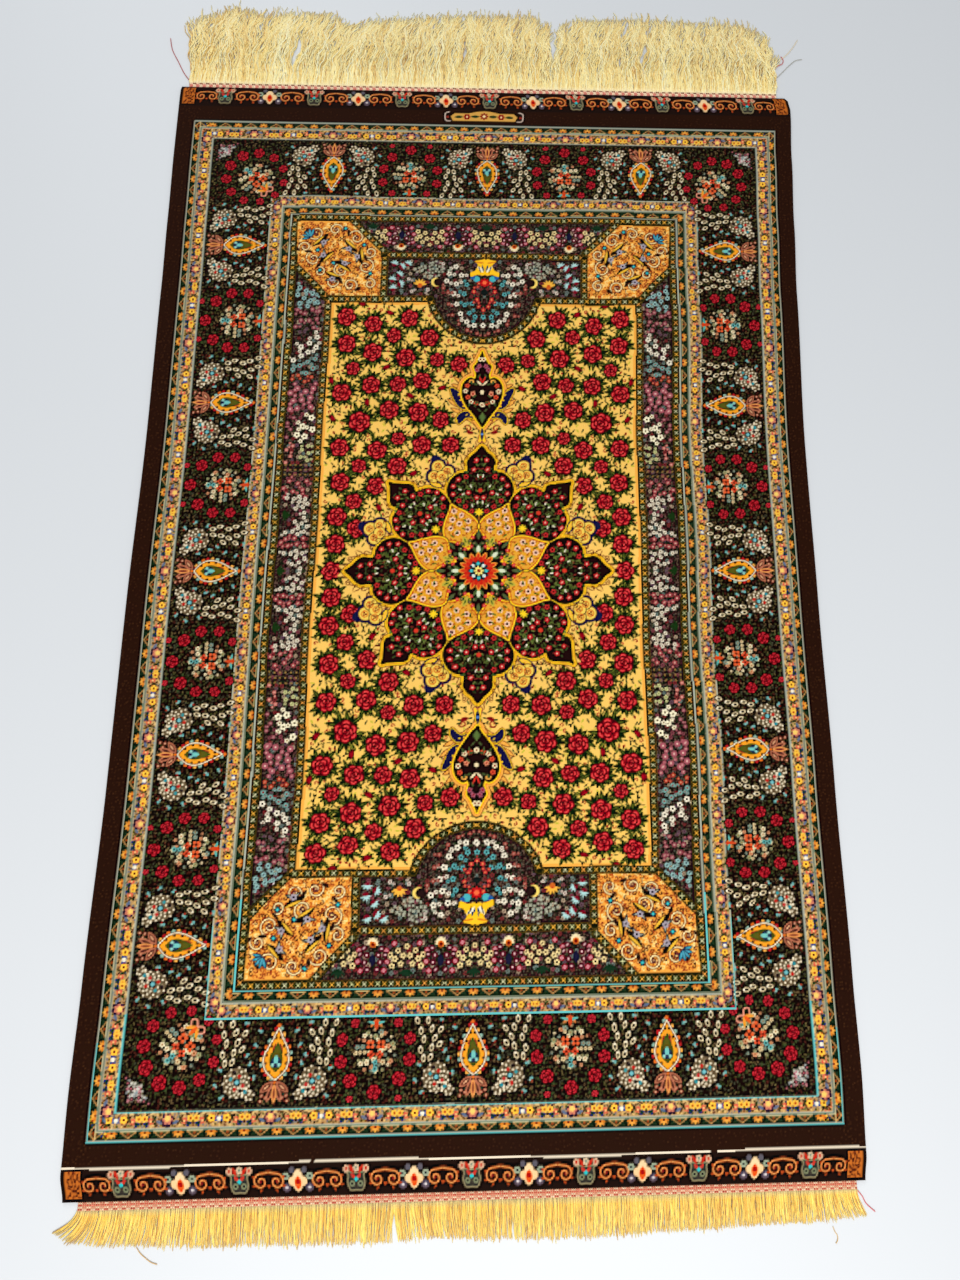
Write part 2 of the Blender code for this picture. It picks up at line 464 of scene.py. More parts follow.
def rose(needle, light=ROSE_LIGHT, red=ROSE_RED, dark=ROSE_DARK):
    """A full rose of radius 1: two rows of round petals with light rims, around a coiled heart."""
    needle.disc(0.0, 0.94, dark)
    for count, reach, radius, twist in ((6, 0.60, 0.36, 0.0), (4, 0.32, 0.29, 0.6), (2, 0.09, 0.18, 0.2)):
        for number in range(count):
            angle = math.tau * (number + 0.2 * math.sin(5.0 * number)) / count + twist
            place = cmath.rect(reach, angle)
            needle.disc(place, radius + 0.07, dark)
            needle.disc(place, radius, red)
            rim = [place + cmath.rect(0.62 * radius, angle + bend) for bend in (-1.0, -0.5, 0.0, 0.5, 1.0)]
            needle.line(rim, max(0.12, 0.9 / abs(needle.factor)), light)
    needle.line([0.12 + 0.05j, 0.0 + 0.12j, -0.10 - 0.02j], 0.08, dark)


def rosebud(needle):
    """A closed bud on a short stem with two sepals."""
    for tip in (6.5 + 4.5j, 7.5 - 4.0j, -7.0 + 3.5j, -8.0 - 2.5j, -4.0 - 5.5j):
        needle.leaf(0.2 * tip, 1.08 * tip, 3.6, GOLD_PALE)
        needle.leaf(0.2 * tip, tip, 1.9, LEAF_DARK)
    needle.leaf(-5.5 + 0j, 6.5 + 0j, 6.0, ROSE_DARK)
    needle.leaf(-4.0 + 0.9j, 5.0 + 1.2j, 2.4, ROSE_RED)
    needle.leaf(-3.0 - 1.3j, 4.0 - 1.3j, 1.6, ROSE_RED)


chart.fill((0.0, 0.0), FIELD, GOLD_EDGE)
chart.fill((0.0, 0.0), (FIELD[0] - 3.0, FIELD[1] - 3.0), GOLD)
for spot in scatter((2.0, 30.0), (182.0, 332.0), 6.4):
    sprig = pen.at(spot, draw.uniform(0, 360))
    kind = draw.integers(0, 8)
    if kind == 0:
        sprig.leaf(-2.6 + 0j, 2.8 + 0j, 1.9, GOLD_PALE)
    elif kind < 3:
        for tip in (4.0 + 1j, 3.2 - 2.4j, -3.6 + 1.8j):
            sprig.leaf(0j, tip, 1.4, LEAF_DARK)
    elif kind == 3:
        sprig.line(spiral(2.6, 0.8, steps=7), 0.8, SPRIG_RED)
    elif kind == 4:
        sprig.leaf(-1.8 + 0j, 2.2 + 0j, 2.2, SPRIG_RED)
        sprig.leaf(-3.0 + 1j, -0.6 + 0j, 1.2, LEAF_DARK)
    elif kind < 7:
        sprig.leaf(-3.2 + 0j, 2.6 + 0j, 1.5, LEAF_GREEN)
for u, v, radius in ROSES:
    rosette_of_leaves(pen.at(complex(u, v), draw.uniform(0, 360), radius), 5, 1.96)
for u, v, turn in BUDS:
    rosebud(pen.at(complex(u, v), turn))
for u, v, radius in ROSES:
    rose(pen.at(complex(u, v), draw.uniform(0, 360), radius))

# The medallion's outlines in millimetres: each is the right half, from the inside outwards
PETAL_HALF = (
    (0, 28), (4, 33), (8, 39), (15, 44), (20, 47), (22.5, 52), (22, 58), (19.5, 65), (15.5, 71),
    (10.5, 77), (5, 83), (0, 89.5),
)
LOBE_HALF = (
    (0, 57), (13, 67), (25, 76), (33, 84), (38, 93), (38.5, 103), (34, 113), (26, 119.5),
    (16.5, 121), (15, 127), (16, 134), (12, 141), (6, 146), (0, 153),
)
CORNER_LOBE_HALF = (
    (0, 57), (13, 67), (25, 76), (32.5, 83), (35.5, 93), (34, 107), (26, 117), (14, 121),
    (17, 130), (9, 140), (3, 147), (0, 152),
)
MEDALLION_GROUND = (36, 12, 14)


def filled_lobe(needle, outline, tip):
    """A dark lobe of the medallion with small red flowers, leaves and pale buds."""
    needle.shape(outline, YELLOW, 2.0)
    needle.shape(outline, MEDALLION_GROUND, 0.8)
    leaves = ((78, 98, 46), (112, 130, 70), (70, 92, 52), (130, 50, 44), (52, 70, 36))
    for spot in scatter((-36.0, 62.0), (36.0, tip - 10.0), 4.6):
        if abs(spot - 97j) < 32.0 or abs(spot.real) < 9.0:
            colour = leaves[draw.integers(0, 5)]
            needle.at(spot, draw.uniform(0, 360)).leaf(-2.6 + 0j, 2.6 + 0j, 2.0, colour)
    for side in needle.both():
        for x, y, radius, turn in (
            (11, 85, 6.5, 20), (24, 90, 5.5, 200), (21, 103, 6.5, 80), (8, 105, 6.0, 300),
        ):
            curl = side.at(complex(x, y), turn)
            curl.line(spiral(radius, 0.8, steps=9), 0.9, (104, 120, 62))
            curl.leaf(complex(radius, 0), complex(radius + 1.0, 5.5), 2.2, (96, 120, 56))
        for x, y in (
            (9, 73), (17, 79), (25, 86), (32, 94), (32, 104), (26, 112.5), (17, 116), (8, tip - 28),
            (6, tip - 17), (14, 96), (4, 90),
        ):
            bloom = side.at(complex(x, y), 40 * x)
            bloom.disc(0.0, 3.6, MEDALLION_GROUND)
            bloom.blossom(0.0, 3.3, 5, (200, 52, 56), (50, 6, 14) if x % 2 else (250, 214, 190))
        for x, y, turn in (
            (11, 104, 60), (3, 84, 100), (3, tip - 36, 75), (20, 94, 140), (24, 100, 20),
            (9, 80, 60),
        ):
            side.at(complex(x, y), turn).leaf(-2.4 + 0j, 2.6 + 0j, 2.3, SOFT_WHITE)
            side.at(complex(x, y), turn + 70).leaf(0j, 4.4 + 0j, 1.8, (110, 136, 84))
    needle.petals(72j, 5.2, 8, 0.66, YELLOW)
    needle.disc(99j, 2.8, (214, 66, 50))
    needle.leaf(60j, 68j, 3.6, (150, 100, 40))


middle = pen.at(0.0)
lobe = smooth(mirrored(LOBE_HALF), closed=True, steps=3)
corner_lobe = smooth(mirrored(CORNER_LOBE_HALF), closed=True, steps=3)
petal = smooth(mirrored(PETAL_HALF), closed=True, steps=3)
for grow, colour in ((0.0, BROWN), (-0.9, GOLD)):
    for turn, outline in ((0, lobe), (-90, lobe), (-45, corner_lobe)):
        for side in middle.at(0.0, turn).both():
            for number, point in enumerate(outline[: len(outline) // 2 : 2]):
                if point.imag > 90.0:
                    out = point + 10.0 * (point - 98j) / abs(point - 98j)
                    side.leaf(point, out + (4.0 if number % 2 else -2.0), 6.4 + 2.0 * grow, colour)
for grow, colour in ((4.6, BROWN), (3.9, YELLOW), (2.6, ORANGE_LINE)):
    for turn in (0, -90):
        middle.at(0.0, turn).shape(lobe, colour, grow)
    middle.at(0.0, -45).shape(corner_lobe, colour, grow)

# Between the lobes stand small three-lobed flowers with dark blue outlines
for turn in (-21.5, -68.5):
    trefoil = middle.at(0.0, turn)
    for place, radius in ((137j, 7.6), (128 * 1j - 8.5, 7.0), (128 * 1j + 8.5, 7.0), (146j, 3.0)):
        trefoil.disc(place, radius + 3.0, NAVY)
    for side in trefoil.both():
        side.leaf(3.0 + 112j, 17.0 + 125j, 8.4, NAVY)
        side.leaf(4.0 + 112.5j, 16.0 + 124j, 5.4, YELLOW)
        side.leaf(5.5 + 113.6j, 14.0 + 121.8j, 2.0, GOLD_EDGE)
    for place, radius in ((137j, 7.6), (128 * 1j - 8.5, 7.0), (128 * 1j + 8.5, 7.0), (125j, 7.0)):
        trefoil.disc(place, radius + 0.8, (110, 66, 40))
        trefoil.disc(place, radius, (238, 208, 104))
    for place in (138j, 129 * 1j - 8.0, 129 * 1j + 8.0, 124j):
        trefoil.ring(place, 3.6, 0.9, ORANGE_LINE)
        for way in (1.5, -0.8 + 1.3j, -0.8 - 1.3j):
            trefoil.disc(place + way, 1.0, (150, 46, 30))
for turn in range(-90, 1, 45):
    for side in middle.at(0.0, turn).both():
        for x, y in (
            (39, 86), (43, 94), (44, 103), (41, 112), (36, 119), (27, 125), (20, 131), (18, 139),
            (15, 148),
        ):
            side.at(complex(x, y), 3 * y).line(spiral(2.6, 0.7, steps=6), 0.9, BROWN)
for turn in (0, -90):
    filled_lobe(middle.at(0.0, turn), lobe, 153)
filled_lobe(middle.at(0.0, -45), corner_lobe, 148)

# The eight gold petals and the star in the middle
middle.disc(0.0, 50.0, MEDALLION_GROUND)
for turn in (-22.5, -67.5, 22.5, -112.5):
    gold_petal = middle.at(0.0, turn)
    gold_petal.shape(petal, (96, 40, 40), 0.9)
    gold_petal.shape(petal, YELLOW)
    gold_petal.shape(petal, (196, 84, 30), -1.9)
    gold_petal.shape(petal, (226, 168, 66), -2.7)
    for spot in scatter((-20.0, 44.0), (20.0, 82.0), 5.0):
        if abs(spot.real) < 21.0 - 0.5 * abs(spot.imag - 52.0):
            gold_petal.at(spot, draw.uniform(0, 360)).line(spiral(2.0, 0.6, steps=4), 0.8, (176, 96, 34))
    gold_petal.leaf(32j, 46j, 7.0, (196, 176, 76))
    for x, y in ((0, 79), (-6.5, 71), (5.5, 70), (-12, 61), (-1, 62), (11, 60.5), (-7.5, 52), (5, 52.5)):
        bloom = gold_petal.at(complex(x, y), 20 * x)
        bloom.disc(0.0, 3.6, (176, 104, 44))
        bloom.blossom(0.0, 3.6, 6, (246, 208, 182), (92, 20, 34))
        bloom.disc(0.0, 1.5, (92, 20, 34))
    for x, y, turn_leaf in (
        (0, 72, 80), (-9, 63, 60), (8, 63, 120), (-4, 54, 40), (6, 53, 140), (0, 40, 90),
        (-3, 35, 70), (3, 36, 110), (12, 51, 60), (-12, 52, 110), (0, 84, 90),
    ):
        gold_petal.at(complex(x, y), turn_leaf).leaf(-3.2 + 0j, 3.2 + 0j, 1.5, (84, 112, 44))
for turn in range(0, 360, 45):
    for x, y, colour in (
        (6.5, 41, (206, 60, 62)), (5, 34, LEAF_GREEN), (8, 30, (206, 60, 62)), (10, 37, LEAF_GREEN),
    ):
        for side in middle.at(0.0, turn).both():
            side.at(complex(x, y)).blossom(0.0, 2.4, 5, colour, (236, 160, 140))
for turn in (0, -45, -90, 45, -135):
    bud = middle.at(0.0, turn)
    for side in bud.both():
        side.leaf(21j, 6.5 + 30j, 4.0, (88, 108, 66))
        side.leaf(26j, 4.0 + 37j, 3.0, (70, 88, 56))
    bud.leaf(22j, 32j, 5.0, (214, 222, 196))
    bud.leaf(38j, 50j, 4.2, (90, 106, 70))
for number in range(16):
    ray = middle.at(0.0, 22.5 * number)
    ray.leaf(12j, 24j, 6.0, (238, 160, 70))
    ray.leaf(12j, 22j, 3.6, (206, 74, 40))
middle.petals(0.0, 17.5, 16, 0.30, (200, 52, 34), turn=11)
middle.petals(0.0, 12.5, 12, 0.25, (40, 60, 72))
for turn in range(0, 360, 45):
    middle.at(0.0, turn).disc(8.6, 2.1, (214, 228, 220) if turn % 90 else TURQUOISE)
middle.petals(0.0, 6.0, 8, 0.5, (246, 224, 130))
middle.disc(0.0, 2.0, (170, 60, 40))

# The pendant that hangs from the medallion, from the gold ribbons that cross to its tip
PENDANT_HALF = (
    (0, 178), (5, 184.5), (11, 193), (18, 203), (23, 213), (25, 222), (24, 231), (20, 237.5),
    (14, 241), (9.5, 239), (8, 244), (9.5, 249.5), (11, 254.5), (8, 258), (5, 263.5), (1.5, 270), (0, 274),
)
CORAL = (222, 92, 62)
MAUVE = (170, 96, 120)
CRESCENT = smooth([
    10 + 189j, 16 + 190.5j, 22 + 188.5j, 28 + 183j, 29 + 189j, 25 + 194.5j, 18 + 196.5j, 11 + 193j,
], True, 3)
LONG_LEAF = smooth([
    20 + 201j, 26 + 203j, 32 + 211j, 38 + 226j, 29 + 221.5j, 26.5 + 213j, 21 + 206j,
], True, 3)
pendant = smooth(mirrored(PENDANT_HALF), closed=True, steps=3)
ribbon = smooth([3 + 160j, 1 + 168j, -2 + 175j, -12 + 186j, -22 + 191j], steps=4)
for side in pen.both():
    for width, colour in ((5.4, BROWN), (4.2, GOLD_EDGE), (1.9, YELLOW)):
        side.line(ribbon, width, colour)
    side.at(17 + 176j, 30).line(spiral(5.0, 1.0), 1.3, SPRIG_RED)
    side.leaf(10 + 170j, 19 + 172j, 4.4, (150, 40, 40))
    for start, end in (
        (30 + 229j, 38 + 232j), (28 + 236j, 35 + 242j), (22 + 242j, 26 + 250j), (15 + 246j, 20 + 254j),
        (13 + 257j, 17 + 263j), (8 + 264j, 11 + 271j), (30 + 198j, 38 + 202j), (34 + 208j, 42 + 214j),
    ):
        side.leaf(2 * start - end, end, 5.4, BROWN)
        side.leaf(2 * start - end, start + 0.88 * (end - start), 4.0, GOLD_EDGE)
pen.shape(pendant, BROWN, 5.6)
pen.shape(pendant, GOLD_EDGE, 5.0)
for side in pen.both():
    for outline in (CRESCENT, LONG_LEAF):
        for grow, colour in ((2.6, BROWN), (1.9, YELLOW), (0.8, NAVY)):
            side.shape(outline, colour, grow)
    for place in (22 + 204j, 26 + 212j, 28 + 219j, 14 + 192j, 19 + 193j):
        side.disc(place, 1.1, YELLOW)
pen.shape(pendant, ORANGE_LINE, 2.4)
pen.shape(pendant, YELLOW, 1.9)
pen.shape(pendant, MEDALLION_GROUND)
for side in pen.both():
    for x, y, colour in (
        (0, 206, CREAM), (7, 208, CORAL), (13, 210, CREAM), (17, 216, CORAL), (20, 223, CREAM),
        (18, 230, CORAL), (11, 220, (226, 150, 120)), (7, 250, MAUVE), (4, 255, MAUVE), (2, 264, CREAM),
    ):
        side.at(complex(x, y), 30 * x).blossom(0.0, 3.2, 5, colour, (150, 30, 40))
    side.at(12.5 + 235j).line(spiral(3.2, 0.8), 2.0, GOLD_EDGE)
    for x, y, turn in (
        (13, 234, 60), (9, 217, 140), (8, 205, 100), (4, 199, 45), (4, 243, 120), (8, 232, 20),
        (3, 190, 90), (6, 209, 20), (15, 206, 120),
    ):
        side.at(complex(x, y), turn).leaf(-3.2 + 0j, 3.2 + 0j, 2.4, (78, 98, 60))
    side.leaf(0 + 230j, 7 + 237j, 3.0, CREAM)
    side.leaf(0 + 233j, 4 + 243j, 2.4, (214, 60, 50))
pen.disc(222j, 2.6, CREAM)
pen.leaf(183j, 197j, 5.0, (96, 122, 70))
pen.leaf(160j, 178j, 6.4, YELLOW)
pen.leaf(161j, 177j, 4.4, NAVY)
pen.disc(169j, 1.7, (110, 150, 210))


class Sheet:
    """One flat piece of the cloth: its mesh follows the floor, and its knots get their colours last."""

    def __init__(self, name, across, along, hole=None):
        bpy.ops.object.select_all(action="DESELECT")
        bpy.ops.mesh.primitive_grid_add(x_subdivisions=len(across) - 1, y_subdivisions=len(along) - 1)
        self.piece = bpy.context.object
        self.piece.name = name
        start = self.points()
        columns = np.rint((start[:, 0] + 1.0) / 2.0 * (len(across) - 1)).astype(int)
        rows = np.rint((start[:, 1] + 1.0) / 2.0 * (len(along) - 1)).astype(int)
        self.work = np.stack([np.array(across)[columns], np.array(along)[rows]], axis=1)
        if hole:
            self.work = self.cut(hole)

    def points(self):
        mesh = self.piece.data
        found = np.empty(len(mesh.vertices) * 3)
        mesh.vertices.foreach_get("co", found)
        return found.reshape(-1, 3)

    def move(self, x, y, z):
        """Puts every point in its place, in metres."""
        mesh = self.piece.data
        mesh.vertices.foreach_set("co", np.stack([x, y, z], axis=1).astype(np.float32).ravel())
        mesh.update()

    def cut(self, hole):
        """Deletes the faces inside a hole, given by its half sizes in millimetres."""
        self.move(self.work[:, 0], self.work[:, 1], np.zeros(len(self.work)))
        mesh = self.piece.data
        centres = np.empty(len(mesh.polygons) * 3)
        mesh.polygons.foreach_get("center", centres)
        centres = abs(centres.reshape(-1, 3))
        inside = (centres[:, 0] < hole[0]) & (centres[:, 1] < hole[1])
        bpy.ops.object.mode_set(mode="EDIT")
        bpy.ops.mesh.select_all(action="DESELECT")
        bpy.ops.object.mode_set(mode="OBJECT")
        mesh.polygons.foreach_set("select", inside)
        bpy.ops.object.mode_set(mode="EDIT")
        bpy.ops.mesh.select_mode(type="FACE")
        bpy.ops.mesh.delete(type="FACE")
        bpy.ops.object.mode_set(mode="OBJECT")
        return self.points()[:, :2]


def even_lines(start, end, pitch=2.0):
    """Places at about one pitch from start to end."""
    return list(np.linspace(start, end, round((end - start) / pitch) + 1))


def ripple(u, v):
    """How far the pile's top stands below its full height, in millimetres."""
    wave = np.sin(u / 23.0 + 1.7 * np.sin(v / 61.0)) * np.sin(v / 31.0 + 0.9 * np.sin(u / 47.0))
    return 0.10 + 0.09 * wave


# In millimetres of the chart: the pile's edge is rounded off over the first of these, and the
# second is its upright side
EDGE_ROUND = 1.2
WALL = 1.8


def lay_pile(sheet):
    """Lays a sheet of pile on the floor, with its outer edge rolled down and a wall to the floor."""
    u, v = sheet.work.T
    across = np.clip(u / 1000.0, -HALF_WIDTH, HALF_WIDTH)
    along = np.clip(v / 1000.0, -HALF_LENGTH, HALF_LENGTH)
    x, y = on_floor(across, along)
    inset = np.minimum(SIDE - abs(u), END - abs(v))
    lean = EDGE_ROUND - np.clip(inset, 0.0, EDGE_ROUND)
    drop = EDGE_ROUND - np.sqrt(np.clip(EDGE_ROUND**2 - lean**2, 0.0, None))
    fall = np.clip(-inset / WALL, 0.0, 1.0)
    flat = inset > EDGE_ROUND + 0.1
    z = (1000.0 * PILE_TOP - drop - ripple(u, v) * flat) * (1.0 - fall) / 1000.0
    sheet.move(x, y, z)


KNOT_PITCH = 0.0011


def silk_pile_finish():
    """Shorn silk: the knots' own colours, a little uneven, with broad lighter and darker patches painted in
    as the sheen of the nap, rows of knots and a soft sheen.
    """
    finish = Finish("silk_pile", {
        "Specular IOR Level": 0.02,
        "Sheen Weight": 0.01,
        "Sheen Roughness": 0.42,
        "Sheen Tint": (1.0, 0.96, 0.90, 1.0),
    })
    knots = finish.node("ShaderNodeAttribute", {"attribute_name": "knots"}, {}, "Color")
    place = finish.place()
    split = finish.node("ShaderNodeSeparateXYZ", {}, {"Vector": place})
    row = finish.node("ShaderNodeSeparateXYZ", {}, {"Vector": place}, 1)
    grain = finish.noise(1300.0, 1.0, place)
    # Broad patches where the nap lies one way or another: they vary the roughness, and in the base colour
    # below they are painted sheen.
    nap_lie_and_sheen = finish.noise(9.0, 4.0, place)
    # Base colour brightness: each knot's own random tone, plus the nap's patches as painted sheen.
    shade = 0.76 + 0.26 * grain + 0.22 * nap_lie_and_sheen
    ridge = (split * (math.tau / KNOT_PITCH)).sine() + (row * (math.tau / KNOT_PITCH)).sine()
    bump = finish.node(
        "ShaderNodeBump", {}, {"Strength": 0.35, "Distance": 0.0003, "Height": ridge * 0.25 + grain}
    )
    finish.feed(finish.shader, {
        "Base Color": finish.tint(knots, shade),
        "Roughness": 0.50 + 0.22 * nap_lie_and_sheen,
        "Normal": bump,
    })
    return finish.material


silk_pile = silk_pile_finish()
pile = []


def finish_pile(sheet):
    """Gives a sheet of pile its finish and its place in the rug."""
    lay_pile(sheet)
    sheet.piece.data.materials.append(silk_pile)
    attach(sheet.piece, "root")
    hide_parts("knotted_cloth")
    pile.append(sheet)


FIELD_PIECE = (190.0, 338.0)
across = even_lines(-FIELD_PIECE[0], FIELD_PIECE[0])
along = even_lines(-FIELD_PIECE[1], FIELD_PIECE[1])
finish_pile(Sheet("pile_field", across, along))

# The inner bands: narrow strips of blossoms, the four gold corner panels, dark bands of small
# crosses between them, and the two inner guard bands with their pale lines.
INNER_CROSSES = (242.0, 456.0)
INNER_EDGE = (234.0, 447.5)
INNER_PIECE = (270.0, 483.0)
STRIP_GROUND = (44, 24, 26)
CROSS_GROUND = (36, 38, 10)
WINE = (92, 22, 48)
PINK = (206, 120, 130)
ORANGE = (222, 128, 52)
PANEL_GROUND = (240, 172, 84)
CROSS_COLOURS = ((255, 192, 84), (224, 222, 186), (255, 176, 92), (214, 216, 168))


def cross_band(points, width, pitch):
    """A dark band of small crosses along a path, with a thin golden edge."""
    pen.line(points, width, (110, 88, 36))
    pen.line(points, width - 1.2, CROSS_GROUND)
    number = 0
    for start, end in zip(points, points[1:]):
        axis = end - start
        count = max(1, round(abs(axis) / pitch))
        turn = math.degrees(cmath.phase(axis))
        for step in range(count):
            cross = pen.at(start + axis * (step + 0.5) / count, turn)
            for tilt in (1 + 1j, 1 - 1j):
                cross.line([-1.9 * tilt, 1.9 * tilt], 0.95, CROSS_COLOURS[number % 4])
            cross.leaf(0.5 * pitch - 1.4j, 0.5 * pitch + 1.4j, 1.3, (84, 92, 30))
            for rise in (-3.0j, 3.0j):
                cross.disc(0.5 * pitch + rise, 0.6, (140, 112, 50))
            number += 1


def leafy_ground(low, high, pitch, colours, test=None):
    """Small curled leaves over a rectangle."""
    for spot in scatter(low, high, pitch):
        if test and not test(spot):
            continue
        twig = pen.at(spot, draw.uniform(0, 360))
        colour = colours[draw.integers(0, len(colours))]
        if draw.random() < 0.65:
            twig.leaf(-0.5 * pitch + 0j, 0.5 * pitch + 0j, 0.42 * pitch, colour)
        else:
            twig.line(spiral(0.44 * pitch, 0.6, steps=5), 0.95, colour)


STRIP_LEAVES = ((116, 102, 84), (86, 96, 70), (126, 104, 96), (96, 50, 58), (98, 106, 96), (34, 52, 32))
chart.frame(INNER_CROSSES, FIELD, CROSS_GROUND)
chart.fill((FIELD[0] + 8.5, 0.0), (INNER_EDGE[0] - 1.0, 378.0), STRIP_GROUND)
chart.fill((0.0, 403.5), (164.0, INNER_EDGE[1]), STRIP_GROUND)
pen.disc(LUNETTE_MIDDLE, LUNETTE_RADIUS, CROSS_GROUND)
pen.disc(LUNETTE_MIDDLE, LUNETTE_RADIUS - 9.0, STRIP_GROUND)
chart.fill((0.0, 344.5), (120.5, 395.5), STRIP_GROUND)
leafy_ground((198.0, 1.0), (232.5, 376.0), 2.7, STRIP_LEAVES)
leafy_ground((1.0, 405.0), (162.0, 447.0), 2.7, STRIP_LEAVES)
leafy_ground(
    (1.0, 290.0), (120.0, 395.0), 2.7, STRIP_LEAVES,
    lambda spot: spot.imag > 345.0 or abs(spot - LUNETTE_MIDDLE) < 63.0,
)


SMALL_BLOSSOMS = ((140, 78, 92), (116, 140, 138), (186, 168, 146), (134, 54, 58), (112, 88, 106))
for low, high in (
    ((199.0, 2.0), (232.0, 374.0)), ((2.0, 406.0), (161.0, 446.0)), ((2.0, 346.0), (119.0, 394.0)),
):
    for spot in scatter(low, high, 8.4):
        colour = SMALL_BLOSSOMS[draw.integers(0, 5)]
        pen.at(spot, draw.uniform(0, 90)).blossom(0.0, draw.uniform(1.9, 2.6), 5, colour, (60, 34, 40))


def posy(radius, count, colour, core, spots):
    """The same small blossom at several places, each with a smaller one beside it."""
    for u, v in spots:
        turn = draw.uniform(0, 360)
        beside = cmath.rect(1.6 * radius, math.radians(3.0 * turn))
        for place, size in ((beside, 0.62), (0.0, 0.90)):
            bloom = pen.at(complex(u, v) + place, turn, size)
            bloom.disc(0.0, 0.98 * radius, STRIP_GROUND)
            bloom.blossom(0.0, radius, count, colour, core)


# The side strip, from its far end to the middle: rows of mixed blossoms, then arcs of small white
# ones around green tufts, with pink ones between
PALE_BLUE = (150, 190, 188)
DULL_PINK = (158, 88, 102)
posy(2.6, 5, (226, 214, 214), WINE, (
    (203, 357), (210, 360), (217, 366), (224, 372), (209, 352),
))
posy(3.4, 6, PALE_BLUE, (60, 60, 80), (
    (203, 345), (211, 347), (219, 350), (227, 354), (205, 336), (213, 338), (221, 341), (229, 345),
    (217, 331), (226, 334),
))
posy(3.2, 6, DULL_PINK, (210, 190, 170), (
    (203, 325), (211, 327), (220, 322), (229, 326), (205, 315), (214, 313), (224, 313), (230, 305),
    (208, 304),
))
posy(4.0, 5, SOFT_WHITE, (60, 34, 34), (
    (203, 292), (212, 284), (204, 279), (213, 273), (221, 268), (222, 279), (229, 262),
))
posy(3.4, 6, (124, 172, 168), (150, 50, 50), (
    (204, 264), (212, 260), (221, 255), (205, 252), (229, 250), (213, 246),
))
posy(3.0, 5, (190, 76, 58), (226, 190, 160), (
    (222, 243), (206, 241), (229, 238), (214, 235),
))
posy(4.2, 8, (168, 96, 110), (226, 190, 180), (
    (203, 226), (212, 222), (222, 226), (230, 220), (206, 214), (216, 211), (226, 210), (204, 202),
    (220, 200), (229, 199),
))
posy(4.6, 5, (252, 244, 214), (120, 90, 40), (
    (202, 188), (212, 177), (200, 173), (209, 164), (218, 166),
))
posy(2.8, 5, DULL_PINK, (220, 190, 180), (
    (223, 188), (230, 181), (226, 173), (230, 163),
))
posy(2.9, 5, (212, 214, 160), (110, 120, 70), (
    (204, 152), (211, 147), (203, 143), (212, 138), (204, 134),
))
posy(2.9, 5, (204, 120, 116), (240, 210, 190), (
    (222, 152), (229, 147), (224, 139), (230, 131),
))
for u in range(200, 234, 6):
    for v in (116, 122, 128):
        pen.at(complex(u, v), 45).petals(0.0, 1.6, 4, 0.6, (150, 124, 72))
posy(3.4, 5, (172, 84, 92), (230, 206, 186), (
    (204, 108), (214, 105), (224, 108), (230, 99), (208, 97), (219, 95), (204, 88), (228, 88),
))
WHITE_ARC = (
    (205, 3), (207, 10), (211, 16), (217, 20), (225, 21), (201, 14), (204, 20), (211, 23), (215, 8),
)
for base in (66.0, 0.0):
    tuft = pen.at(complex(230.0, base), 90)
    for side in tuft.both():
        for tip in (1 + 10j, 4 + 8j, 7 + 5j):
            side.leaf(0j, tip, 2.4, (30, 60, 26))
    for mirror in (-1.0, 1.0):
        posy(2.9, 5, SOFT_WHITE, (90, 70, 50), [(u, base + mirror * v) for u, v in WHITE_ARC])
posy(3.6, 5, (164, 78, 86), (230, 200, 180), (
    (202, 29), (211, 31), (221, 29), (229, 33), (204, 38), (214, 38), (224, 37),
))

# The end strip: cream stars over green tufts, by turns with wine-red rounds around a half daisy
for centre in (0.0, 70.0, 140.0):
    stars = pen.at(complex(centre, 427.0))
    for side in stars.both():
        for tip in (0.6 + 9j, 4 + 8j, 8 + 6j):
            side.leaf(10j, 10j + tip, 2.6, (26, 58, 40))
        for x, y, radius in (
            (15, 7, 3.4), (6, 5, 3.2), (12, 0, 3.4), (3.5, -3, 3.2), (17, -4, 3.2), (9, -8, 3.0),
            (0, -12, 3.0),
        ):
            side.disc(complex(x, y), 0.95 * radius, STRIP_GROUND)
            side.at(complex(x, y), 9 * x).blossom(0.0, radius, 5, (236, 214, 160), (70, 46, 40))
        for x, y in ((13, -15), (21, -8), (20, 3), (23, 12)):
            side.disc(complex(x, y), 3.3, (138, 20, 54))
            side.ring(complex(x, y), 1.2, 1.1, (238, 196, 196))
for centre in (35.0, 105.0):
    daisy = pen.at(complex(centre, 421.0))
    daisy.leaf(2j, 14j, 6.0, (34, 32, 66))
    for side in daisy.both():
        for x, y in ((8, 10), (6, 3), (9, -4), (13, 2), (5, 17)):
            side.disc(complex(x, y), 3.2, WINE)
            side.disc(complex(x, y), 1.2, (226, 190, 190))
        for angle in (-80, -50, -20, 10):
            side.leaf(-9j, cmath.rect(6.6, math.radians(angle)) - 9j, 3.0, CREAM)
    daisy.disc(-7.6j, 3.4, ORANGE)
    daisy.disc(-7.4j, 2.0, (140, 30, 24))

